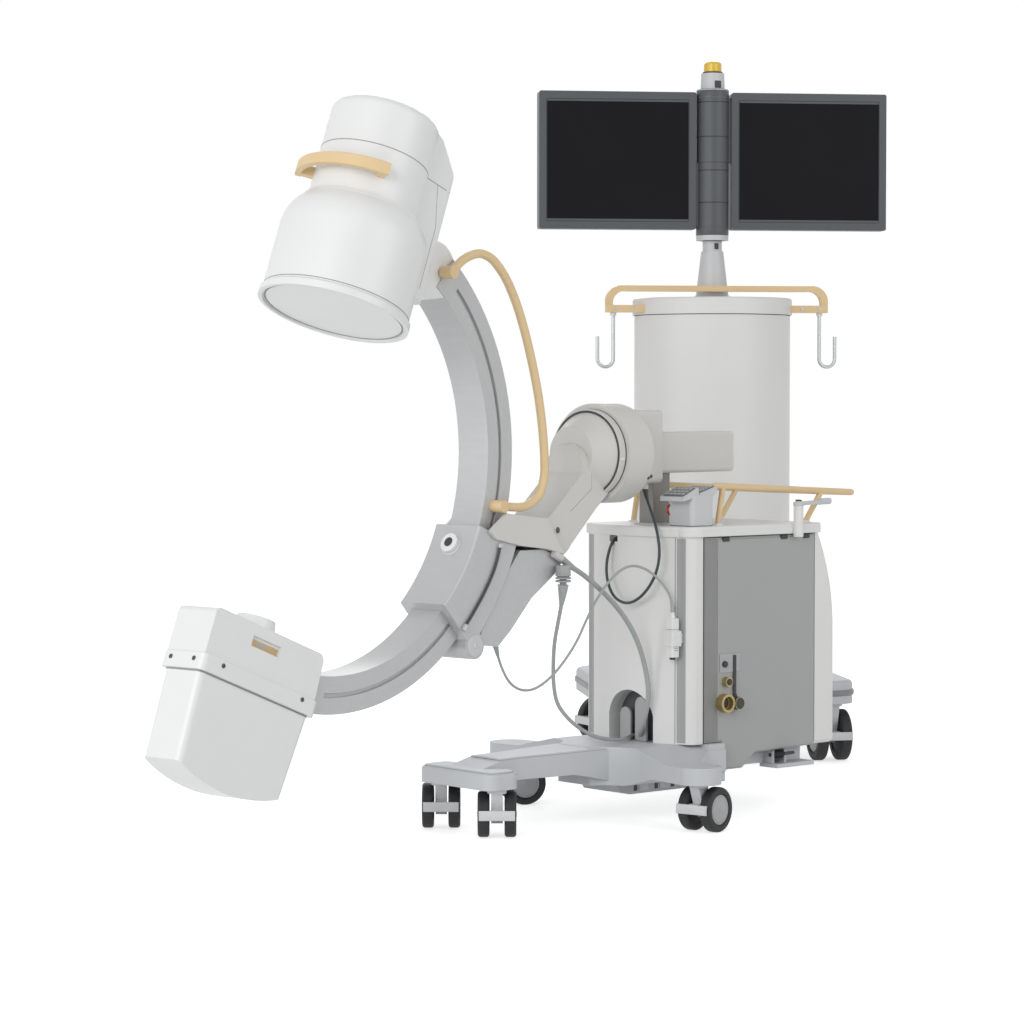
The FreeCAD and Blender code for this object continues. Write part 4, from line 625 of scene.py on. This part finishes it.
# castors: covers over the hubs, with a rim, a groove and a raised middle
# name, x, y, heading, wheel radius, distance of the pair, width of a wheel, trail
CASTORS = [("castor_front_far", -435, 99, 49, 52, 34, 27, 26),
           ("castor_front_near", -435, -99, 49, 52, 34, 27, 26),
           ("castor_rear_near", -22, -328, 12, 52, 34, 27, 26),
           ("castor_rear_far", -22, 328, -25, 52, 34, 27, 26)]
STATION_CASTORS = [("station_castor_front_left", -294, -234, 20),
                   ("station_castor_front_right", 294, -234, 60),
                   ("station_castor_rear_right", 294, 234, 35),
                   ("station_castor_rear_left", -294, 234, -15)]
for name, x, y, heading in STATION_CASTORS:
    stand_x, stand_y, _ = carried([(x, y, 0)], np.linalg.inv(STAND) @ STATION)[0]
    CASTORS.append((name, stand_x, stand_y, heading, 70, 36, 30, 34))


def hub_cover(radius, face):
    """turned cover: rim bead, shallow groove, crowned disc and a small middle button"""
    return lathe([(radius, face - 5.0), (radius, face - 2.6), (radius - 1.2, face - 1.8),
                  (radius - 3.0, face - 1.8), (radius - 3.6, face - 2.6), (radius - 4.8, face - 2.6),
                  (radius - 5.6, face - 1.6),
                  (radius * 0.5, face - 0.3), (radius * 0.2, face), (radius * 0.19, face + 0.6),
                  (radius * 0.12, face + 0.9)])


for name, x, y, heading, r, apart, wide, trail in CASTORS:
    at = STAND @ shift(x, y) @ spin(heading, "Z") @ shift(trail, 0.0, r)
    face = apart / 2.0 + wide
    covers = [moved(hub_cover(r * 0.66, face), spin(sign * 90.0, "X")) for sign in (-1, 1)]
    piece(name + "_hub_covers", covers, HUB_GREY, name + "_rollers", "steel", at)

# details of the base
FOOT_X = -435.0
BEAM_START = -384.0
BEAM_END = 12.0


def beam_cover(spread, high):
    """plate along the rising beam: at each x a crowned section, as wide as the beam less its edge"""
    rows = []
    for x in np.linspace(BEAM_START, BEAM_END, 24):
        half = np.interp(x, (-329.0, 20.0), (52.0, 86.0)) + spread
        top = np.interp(x, (-385.0, 20.0), (168.0, 174.0))
        section = [(-half, -1.0), (-half, high * 0.4), (2.5 - half, high * 0.8), (-half / 2, high),
                   (half / 2, high), (half - 2.5, high * 0.8), (half, high * 0.4), (half, -1.0)]
        rows.append([(x, y, top + z) for y, z in section])
    return shell(np.array(rows))


def flat(width, height, corner, thick, at, normal, ease=0.5, up=(0.0, 0.0, 1.0)):
    """eased plate laid on a face: its middle, the face's normal and the direction of its height"""
    return moved(pillow(width, height, corner, thick, ease, 0.6), facing(at, normal, up))


def button(radius, thick, at, normal):
    """round eased cap on a face"""
    profile = [(radius, -0.6), (radius, thick * 0.6), (radius * 0.93, thick * 0.9), (radius * 0.8, thick)]
    return moved(lathe(profile, steps=40), facing(at, normal, (0.13, 0.21, 0.97)))


NEAR = (0.0, -1.0, 0.0)
FAR = (0.0, 1.0, 0.0)
AHEAD = (-1.0, 0.0, 0.0)

foot_plate = moved(pillow(76, 244, 19, 3.4, 2.6, 1.0), shift(FOOT_X, 0, 150))
foot_seam = moved(pillow(80, 248, 21, 0.7, 0.3, 1.0), shift(FOOT_X, 0, 150))
piece("base_foot_cover", [foot_plate], FINISH["casting"], "base", "casting")
piece("base_beam_cover", [beam_cover(0.0, 4.6)], FINISH["casting"], "base", "casting")
piece("base_cover_seams", [foot_seam, beam_cover(2.0, 0.9)], SOFT_SEAM, "base", "casting")
tray_slots = [flat(11, 20, 1, 0.8, (x, -64, 75), NEAR) for x in (28, 96, 150)]
piece("tray_slots", tray_slots, FINISH["dark"], "base", "dark")
tray_latches = [flat(30, 19, 2, 2.4, (x, -64, 74), NEAR, 0.8) for x in (54, 122)]
piece("tray_latches", tray_latches, CASTOR_SILVER, "base", "casting")

# details of the cabinet
CAB_SIDE = 184.0
DECK_LEVEL = 692.0
SKIN = [(180, 184), (195, 184), (195, 116), (261, 116), (306, 149), (509, 153), (509, 660), (180, 660)]
for side_name, sign, normal in (("near", -1, NEAR), ("far", 1, FAR)):
    face = sign * CAB_SIDE
    skin = bar(SKIN, min(face, face + sign * 2.2), max(face, face + sign * 2.2), 0.8)
    piece("panel_skin_" + side_name, [skin], FINISH["panel"], "base", "panel")
    strip = flat(38, 480, 2, 0.9, (158, face, 422), normal)
    piece("panel_strip_" + side_name, [strip], STRIP_GREY, "base", "panel")
    gaps = [flat(3.4, 486, 1, 1.1, (134.6, face, 423), normal),
            flat(374, 2.6, 1, 2.0, (322, face, 666.5), normal)]
    piece("panel_gaps_" + side_name, gaps, SEAM, "base", "dark")
    latches = [flat(22, 10, 2, 5.0, (x, face, 660), normal, 1.5) for x in (206, 404, 481)]
    piece("panel_latches_" + side_name, latches, FINISH["dark"], "base", "dark")


COVER_R = 347.4
SHOULDER_R = 27.96
SHOULDER_START = 156.0


def cover_x(y):
    """front cover's face: x = a - sqrt(R^2 - y^2) over its middle, then a smaller arc round each shoulder"""
    y = np.abs(np.asarray(y, float))
    middle = 399.4 - np.sqrt(COVER_R ** 2 - np.minimum(y, SHOULDER_START) ** 2)
    shoulder = 116.95 - np.sqrt(SHOULDER_R ** 2 - (np.maximum(y, SHOULDER_START) - 156.68) ** 2)
    return np.where(y < SHOULDER_START, middle, shoulder)


def wall_strip(y0, y1, z0, z1, proud):
    """upright strip on the front cover, following its curve"""
    ys = np.linspace(y0, y1, 9)
    outer = np.column_stack([cover_x(ys) - proud, ys])
    inner = np.column_stack([cover_x(ys) + 1.0, ys])[::-1]
    ring = np.concatenate([outer, inner])
    return shell(np.array([np.column_stack([ring, np.full(len(ring), z)]) for z in (z0, z1)]))


cover_lines = [wall_strip(side_y - 0.9, side_y + 0.9, 180, 666, 0.35) for side_y in (-142, 142)]
piece("cover_parting_lines", cover_lines, SOFT_SEAM, "base", "cover")
# painted shade: grey strips over the front cover's shoulders stand in for the shade at the corners
painted_corner_shade = [wall_strip(side_y - 11, side_y + 11, 182, 664, 0.5) for side_y in (-157, 157)]
piece("cover_corner_painted_shade", painted_corner_shade, FINISH["panel"], "base", "cover")


def arch(y0, y1, low, spring, top, x0, x1):
    """plate square to X with an arched top: half an ellipse from the spring line up"""
    t = np.linspace(0.0, math.pi, 17)
    middle = (y0 + y1) / 2.0
    half = (y1 - y0) / 2.0
    ring = [(middle + half * math.cos(a), spring + (top - spring) * math.sin(a)) for a in t]
    ring = [(y1, low)] + ring + [(y0, low)]
    return shell(np.array([[(x, y, z) for y, z in ring] for x in (x0, x1)]))


piece("port_back", [arch(-85, 57, 179, 240, 298, 96.4, 98)], FINISH["frame"], "base", "dark")
port_flaps = [arch(-60, -22, 179, 262, 284, 66, 72), arch(-2, 34, 179, 238, 256, 70, 76)]
piece("port_flaps", port_flaps, FINISH["panel"], "base", "panel")
column_collar = moved(pillow(76, 70, 8, 4.0, 1.6, 0.5), shift(150, 0, DECK_LEVEL))
piece("column_collar", [column_collar], FINISH["grey_metal"], "base", "housing")
strut_feet = [moved(lathe([(12.5, -0.5), (12.5, 2.0), (11.0, 3.6), (8.6, 4.4)]), shift(x, y, DECK_LEVEL))
              for x in (218, 520) for y in (-146, 146)]
piece("strut_feet", strut_feet, FINISH["housing"], "base", "housing")
lever_cap = moved(lathe([(8.4, -0.4), (8.4, 1.4), (6.8, 2.6), (3.0, 3.0)]), shift(440, -200, 747))
piece("lever_cap", [lever_cap], FINISH["dark"], "base", "dark")

# near side connectors: label plate, strap, cap and the upper socket
SOCKET_X = 197.0
SOCKET_Z = 272.0
label = flat(68, 44, 2, 0.9, (SOCKET_X + 22, -CAB_SIDE - 3, SOCKET_Z + 94), NEAR)
piece("label_plate", [label], KEY_GREY, "base", "housing")
strap = flat(9.6, 99, 2, 1.0, (SOCKET_X + 37, -CAB_SIDE - 5, SOCKET_Z + 63), NEAR)
hinge = button(5.0, 3.0, (SOCKET_X + 37, -CAB_SIDE - 6, SOCKET_Z + 16), NEAR)
cap = button(15.7, 25.5, (SOCKET_X + 37, -CAB_SIDE, SOCKET_Z - 2), NEAR)
top_ring = button(7.7, 9.8, (SOCKET_X + 4, -CAB_SIDE, SOCKET_Z + 92), NEAR)
small_core = button(7.5, 4.0, (SOCKET_X + 9, -CAB_SIDE - 16, SOCKET_Z + 50), NEAR)
big_core = button(12.5, 2.0, (SOCKET_X, -CAB_SIDE - 8, SOCKET_Z), NEAR)
piece("socket_caps", [strap, hinge, cap, top_ring, small_core, big_core], FINISH["dark"], "base", "dark")

# console: key panels with rows of keys, and a seam round its foot
PANELS = [((86, 762), (134, 784), 3), ((140, 770), (196, 786), 4)]
CONSOLE_Y = -126.0
boards = []
keys = []
for (x0, z0), (x1, z1), rows in PANELS:
    slope = np.array([x1 - x0, 0.0, z1 - z0])
    long = float(np.linalg.norm(slope))
    normal = (-slope[2], 0.0, slope[0])
    lie = facing(((x0 + x1) / 2, CONSOLE_Y, (z0 + z1) / 2), normal)
    boards.append(moved(pillow(70, long - 7, 4, 1.3, 0.6, 0.5), lie))
    for row in range(rows):
        for column in range(5):
            across = (column - 2) * 13.0
            along = (row - (rows - 1) / 2) * (long - 14) / rows
            keys.append(moved(pillow(9.4, 8.4, 1.6, 2.0, 0.7), lie @ shift(across, along, 1.2)))
piece("console_boards", boards, KEY_PANEL, "base", "dark")
piece("console_keys", keys, KEY_GREY, "base", "housing")
console_foot = moved(pillow(75.6, 83.6, 12.6, 1.6, 0.4), shift(149, -127, DECK_LEVEL))
piece("console_foot", [console_foot], SEAM, "base", "dark")

# hand switch: parting line and thumb ridge
switch_line = moved(plate(25, 25, 5.4, [(0, -0.6), (0, 0.6)]), shift(66, -150, 452))
piece("switch_line", [switch_line], SOFT_SEAM, "base", "housing")
ridges = [flat(12, 2.0, 0.9, 1.0, (66, -162, z), NEAR) for z in (402, 407, 412)]
piece("switch_ridges", ridges, KEY_GREY, "base", "housing")


# strain reliefs: ribbed sleeves along the first stretch of a cable
def cord_start(route, share):
    """first stretch of the cable's curve: the parabola P0 (1-t)^2 + 2 P1 t (1-t) + (P1+P2)/2 t^2"""
    p0, p1, p2 = (np.array(p, float) for p in route[:3])
    t = np.linspace(0.0, share, 36)[:, None]
    return p0 * (1 - t) ** 2 + 2 * p1 * t * (1 - t) + (p1 + p2) / 2 * t ** 2


def sleeve(route, share, thick, thin, ribs=5):
    """tapering sleeve whose radius has round ribs along it"""
    path = cord_start(route, share)
    s = np.linspace(0.0, 1.0, len(path))
    radius = thick + (thin - thick) * s + 0.5 * np.maximum(0.0, np.cos(2 * math.pi * ribs * s)) * (1 - s)
    return tube(path, radius, sides=20, up=(0.3, 0.9, 0.1))


piece("loop_sleeve_high", [sleeve(LOOP_ROUTE, 0.5, 7.4, 4.0)], FINISH["cable_dark"], "arm", "dark")
piece("loop_sleeve_low", [sleeve(LOOP_ROUTE[::-1], 0.95, 7.0, 4.0)], FINISH["cable_dark"], "base", "dark")
hose_sleeve = sleeve(HOSE_ROUTE, 0.8, 8.8, 6.4, 7)
piece("hose_sleeve", [hose_sleeve], FINISH["cable_grey"], "turning_arm", "cable_grey")
switch_sleeves = [sleeve(SWITCH_ROUTE, 0.7, 5.2, 3.3)]
piece("switch_sleeve", switch_sleeves, FINISH["cable_grey"], "base", "cable_grey")
piece("carriage_sleeve", [sleeve(SWITCH_ROUTE[::-1], 0.6, 6.4, 3.3)], FINISH["cable_grey"], "turning_arm",
      "cable_grey")
plug_ribs = [moved(lathe([(16.5, z - 2.2), (18.2, z - 1.2), (18.2, z + 1.2), (16.5, z + 2.2)], steps=40),
                   shift(-272, -141)) for z in (578, 585, 592)]
piece("plug_sleeve", plug_ribs + [sleeve(PLUGGED_ROUTE, 0.75, 12.5, 5.0, 4)], FINISH["cable_grey"], "column",
      "cable_grey")
# the plug rides on the column
plug_profile = [(7.5, 0.0), (8.5, 14.0), (16.0, 20.0), (17.0, 24.0), (17.0, 40.5), (16.2, 43.2), (14.0, 44.0)]
hanging_plug = piece("hanging_plug", [moved(lathe(plug_profile, steps=64), shift(-272, -141, 570))],
                     FINISH["cable_grey"], "column", "cable_grey")
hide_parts("plug")

# details of the rotation housing and the angled arm
drum_normal = (0.0, -102.2, -57.0)
screws("housing_screws", [((-152, -102.2, 808), drum_normal), ((-94, -64, 810), NEAR), ((-152, 102.2, 808),
       (0.0, 102.2, -57.0)), ((-94, 64, 810), FAR)], 4.2, FINISH["frame"], "arm", "dark", HEAD)
HUB_X = 865.7
hub_front = ARC @ shift(HUB_X, 0, AXIS_Z - ARC_Z) @ spin(-90.0, "Y")
hub_groove = lathe([(95.5, -0.5), (95.5, 0.5), (101.0, 0.5), (101.0, -0.5)], steps=96, closed=True)
piece("hub_groove", [hub_groove], SEAM, "turning_arm", "dark", hub_front)
hub_edge = lathe([(102.0, -21.6), (104.5, -21.4), (104.5, -18.4), (102.0, -18.2)], steps=96, closed=True)
piece("hub_edge", [hub_edge], SEAM, "turning_arm", "dark", hub_front)
index_mark = flat(13, 5, 1, 0.8, (HUB_X + 9, -103.2, -24), (0.0, -103.0, -12.0), 0.3)
piece("index_mark", [index_mark], FINISH["housing"], "turning_arm", "housing", ARC)
ARM_SIDE = 54.0
arm_rims = []
arm_holes = []
for x, z in ((823, -37), (698, -184)):
    for sign, normal in ((-1, NEAR), (1, FAR)):
        arm_rims.append(button(11.5, 1.1, (x, sign * ARM_SIDE, z), normal))
        arm_holes.append(button(7.6, 1.7, (x, sign * ARM_SIDE, z), normal))
piece("arm_screw_rims", arm_rims, FINISH["arm_metal"], "turning_arm", "arm_metal", ARC)
piece("arm_screw_holes", arm_holes, FINISH["frame"], "turning_arm", "dark", ARC)
cover_seam = tube([(821, -53.5, -51), (821, -53.5, -92), (743, -53.5, -143)], 0.9, sides=8, up=(0, 1, 0))
piece("arm_cover_seam", [cover_seam], SOFT_SEAM, "turning_arm", "arm_metal", ARC)

# lock knob and the round end of the carriage
KNOB_AT = math.radians(-27.5)
KNOB_FACE = 436.0
knob_out = (-math.cos(KNOB_AT), 0.0, -math.sin(KNOB_AT))
knob_place = ARC @ facing((KNOB_FACE * math.cos(KNOB_AT), 0.0, KNOB_FACE * math.sin(KNOB_AT)), knob_out)
piece("knob_rim", [lathe([(21.6, -8.0), (22.4, -6.0), (22.4, -1.0), (20.5, 1.0), (15.0, 1.4), (13.5, 0.4)])],
      FINISH["housing"], "knob", "housing", knob_place)
knob_dot = lathe([(11.0, 0.2), (11.0, 1.2), (8.5, 2.0), (3.0, 2.2)])
piece("knob_centre", [knob_dot], FINISH["dark"], "knob", "dark", knob_place)
knob_ring = lathe([(27.0, -12.6), (27.0, -11.0), (25.5, -10.2), (23.5, -10.2)])
piece("knob_seat", [knob_ring], FINISH["grey_metal"], "turning_arm", "arc_metal", knob_place)
END_AT = math.radians(-47.0)
END_X = 588.0 * math.cos(END_AT)
END_Z = 588.0 * math.sin(END_AT)
end_caps = [button(25.0, 2.2, (END_X, sign * 66.0, END_Z), normal) for sign, normal in ((-1, NEAR), (1, FAR))]
piece("carriage_end_caps", end_caps, FINISH["grey_metal"], "turning_arm", "arc_metal", ARC)
screws("carriage_end_screws", [((END_X, -68.0, END_Z), NEAR), ((END_X, 68.0, END_Z), FAR)], 6.0,
       FINISH["steel"], "turning_arm", "steel", ARC)

# seams of the detector
DETECTOR = BEAM @ shift(-86.0, 0.0, 284.0)
NECK = 119.0
SPINE_SIDE = 78.0
SPINE_REAR = 173.4
SPINE_FULL = 183.0
SPINE_CORNER = 26.0


def neck_reach(t):
    """distance from the axis to the neck's and spine's outline: the farther of a circle and a rounded box"""
    c, s = math.cos(t), abs(math.sin(t))
    reach = NECK
    if c > 0.0:
        box = min(SPINE_REAR / c, SPINE_SIDE / max(s, 1e-6))
        x, y = box * c, box * s
        if x > SPINE_FULL - SPINE_CORNER and y > SPINE_SIDE - SPINE_CORNER:
            cx, cy = SPINE_FULL - SPINE_CORNER, SPINE_SIDE - SPINE_CORNER
            along = cx * c + cy * s
            box = along + math.sqrt(max(0.0, along ** 2 - cx ** 2 - cy ** 2 + SPINE_CORNER ** 2))
            box = min(box, SPINE_REAR / c)
        reach = max(reach, box)
    return reach


def outline_ring(level, width, proud):
    """thin band round neck and spine at one height"""
    t = np.linspace(0.0, 2.0 * math.pi, 160, endpoint=False)
    reach = np.array([neck_reach(a) for a in t])
    rows = []
    for inset, z in ((-2.0, -0.5), (proud, -0.5), (proud, 0.5), (-2.0, 0.5)):
        r = reach + inset
        rows.append(np.stack([r * np.cos(t), r * np.sin(t), np.full(len(t), level + z * width)], axis=-1))
    return shell(np.array(rows), along=True, capped=False)


piece("detector_seams", [ring_part(160.0, 23.0, 2.0, 0.4), ring_part(119.0, 241.4, 2.4, 0.5),
                         outline_ring(352.0, 2.0, 0.4)], SOFT_SEAM, "c_arm", "housing", DETECTOR)
spine_lines = [tube([(125, y, 352), (152, y, 262), (152, y, 120)], 0.9, sides=8, up=(0, 1, 0))
               for y in (-77.6, 77.6)]
piece("spine_lines", spine_lines, SOFT_SEAM, "c_arm", "housing", DETECTOR)
window_rim = lathe([(149.0, 3.2), (149.0, 4.4), (152.5, 4.4), (152.5, 3.2)], steps=96, closed=True)
piece("detector_face_ring", [window_rim], SOFT_SEAM, "c_arm", "housing", DETECTOR)

# seams, window and screws of the x-ray tube's housing
tube_seam = moved(plate(331.6, 109.6, 14.8, [(0, -3.4), (0, 0.2)]), shift(-65, 0, -549))
piece("tube_seam", [tube_seam], SOFT_SEAM, "c_arm", "housing", BEAM)
window = flat(81, 15, 1, 0.9, (-73, -49, -452.6), NEAR)
piece("tube_window", [window], AMBER, "c_arm", "housing", BEAM)
window_label = flat(30, 7, 1, 0.5, (-84, -49.8, -453), NEAR)
piece("tube_window_label", [window_label], KEY_GREY, "c_arm", "housing", BEAM)
lip_places = [((x, sign * 62.0, z), normal) for sign, normal in ((-1, NEAR), (1, FAR))
              for x, z in ((-180, -525), (60, -523))]
lip_places += [((-238.0, y, -528), AHEAD) for y in (-34, 34)]
screws("tube_screws", lip_places, 5.0, FINISH["frame"], "c_arm", "dark", BEAM)
dome_ring = moved(lathe([(47.2, 0.0), (47.2, 1.6), (45.0, 2.4)]), shift(-68, 0, -415.4))
piece("tube_dome_ring", [dome_ring], SOFT_SEAM, "c_arm", "housing", BEAM)

# station: grooves of the collars, a painted highlight and dark lines on the screen edges, lid seam, bumper
# and small fixings
for body, levels, sign, strip_x in (("right_monitor", (1817, 1721), 1, 467.6),
                                    ("left_monitor", (1628, 1539), -1, -72.4)):
    grooves = [ring_part(45.0, z, 3.0, 0.4) for z in levels]
    piece(body + "_grooves", grooves, FINISH["dark"], body, "dark", STATION)
    # painted highlight: a light strip on the bezel's inner edge stands in for the light caught by that edge
    strip = flat(4.0, 318, 1, 0.5, (strip_x, -18.0, 1654), NEAR, 0.2)
    piece(body + "_edge_painted_highlight", [strip], SOFT_SEAM, body, "bezel", STATION)
    lines = [flat(396, 1.6, 0.7, 0.5, (sign * 270, -23.0, z), NEAR, 0.2) for z in (1485.5, 1822.5)]
    lines += [flat(1.6, 338, 0.7, 0.5, (sign * x, -23.0, 1654), NEAR, 0.2) for x in (71.5, 468.5)]
    piece(body + "_rim_lines", lines, FINISH["dark"], body, "dark", STATION)
piece("drum_seams", [ring_part(217.0, 1224.8, 1.8, 0.5), ring_part(217.0, 232.0, 4.0, 0.6)], SEAM, "base",
      "dark", STATION)
bumper = plate(704, 584, 72, [(0, 184), (-2.2, 187), (-2.2, 197), (0, 200)])
piece("station_bumper", [bumper], STRIP_GREY, "base", "casting", STATION)
screws("bracket_screws", [((sign * x, -88.0, 1242), NEAR) for sign in (-1, 1) for x in (236, 286)], 4.6,
       FINISH["steel"], "base", "steel", STATION)
hook_collars = [moved(lathe([(7.6, -9.0), (8.4, -8.0), (8.4, 0.4)]), shift(sign * 290, -68, 1232))
                for sign in (-1, 1)]
piece("hook_collars", hook_collars, FINISH["housing"], "base", "housing", STATION)
sleeves = [lathe([(45.6, 1469.8), (45.6, 1450), (41.0, 1434.4), (28.0, 1432.4)]),
           lathe([(45.6, 1830.4), (45.6, 1849), (43.0, 1853.2), (33.0, 1853.8)])]
piece("column_sleeves", sleeves, FINISH["bezel"], "base", "bezel", STATION)
sensor = flat(19, 20, 2, 1.2, (9.0, -31.6, 1866), (0.27, -0.96, 0.04), 0.4)
neck_plate = flat(12, 17, 2, 1.2, (7.0, -26.0, 1418), (0.26, -0.96, 0.0), 0.4)
piece("column_windows", [sensor, neck_plate], FINISH["dark"], "base", "dark", STATION)
piece("lamp_ring", [ring_part(25.2, 1900.5, 4.0, 2.6)], FINISH["dark"], "base", "dark", STATION)
piece("column_foot_ring", [ring_part(53.0, 1274.5, 3.0, 1.2)], SOFT_SEAM, "base", "housing", STATION)

# pale floor and light
SKY_FILL = 0.46
FLOOR_GLOW = 0.63
world = bpy.data.worlds.new("studio")
bpy.context.scene.world = world
world.use_nodes = True
sky = world.node_tree
sky_light = sky.nodes["Background"]
rays = node(sky, "ShaderNodeLightPath")
seen = node(sky, "ShaderNodeMath", {0: rays.outputs["Is Camera Ray"], 1: rays.outputs["Is Glossy Ray"]},
            operation="MAXIMUM")
sky_light.inputs["Color"].default_value = (1.0, 1.0, 1.0, 1.0)
sky.links.new(scaled(sky, seen.outputs[0], SKY_FILL, 1.0), sky_light.inputs["Strength"])

FLOOR_HALF = 40.0
floor_mesh = bpy.data.meshes.new("floor")
floor_mesh.from_pydata([(-FLOOR_HALF, -FLOOR_HALF, 0), (FLOOR_HALF, -FLOOR_HALF, 0),
                        (FLOOR_HALF, FLOOR_HALF, 0), (-FLOOR_HALF, FLOOR_HALF, 0)], [], [(0, 1, 2, 3)])
floor = bpy.data.objects.new("floor", floor_mesh)
bpy.context.scene.collection.objects.link(floor)
paint = bpy.data.materials.new("pale_floor")
paint.use_nodes = True
floor_tree = paint.node_tree
floor_surface = floor_tree.nodes["Principled BSDF"]
floor_surface.inputs["Base Color"].default_value = (0.82, 0.82, 0.82, 1.0)
floor_surface.inputs["Roughness"].default_value = 0.9
floor_surface.inputs["Specular IOR Level"].default_value = 0.1
floor_rays = node(floor_tree, "ShaderNodeLightPath")
floor_seen = node(floor_tree, "ShaderNodeMath", {0: floor_rays.outputs["Is Camera Ray"],
                                                 1: floor_rays.outputs["Is Glossy Ray"]}, operation="MAXIMUM")
floor_surface.inputs["Emission Color"].default_value = (1.0, 1.0, 1.0, 1.0)
glow = scaled(floor_tree, floor_seen.outputs[0], 0.0, FLOOR_GLOW)
floor_tree.links.new(glow, floor_surface.inputs["Emission Strength"])
floor_mesh.materials.append(paint)


def lamp(name, place, target, size, power):
    """square soft lamp that looks from its place towards a target"""
    data = bpy.data.lights.new(name, "AREA")
    data.size = size
    data.energy = power
    made = bpy.data.objects.new(name, data)
    bpy.context.scene.collection.objects.link(made)
    away = Matrix([list(row) for row in facing(place, np.subtract(place, target))])
    made.matrix_world = away
    return made


lamp("key_light", (-6.4, -3.2, 3.2), (0.0, 0.0, 0.8), 3.0, 135.0)
lamp("low_left_light", (-6.5, 0.6, 1.5), (0.0, 0.2, 0.7), 3.0, 70.0)
lamp("fill_light", (1.5, -7.0, 3.4), (0.0, 0.0, 0.8), 4.0, 100.0)
lamp("rear_light", (4.5, 5.0, 4.0), (0.0, 0.0, 0.9), 3.0, 90.0)
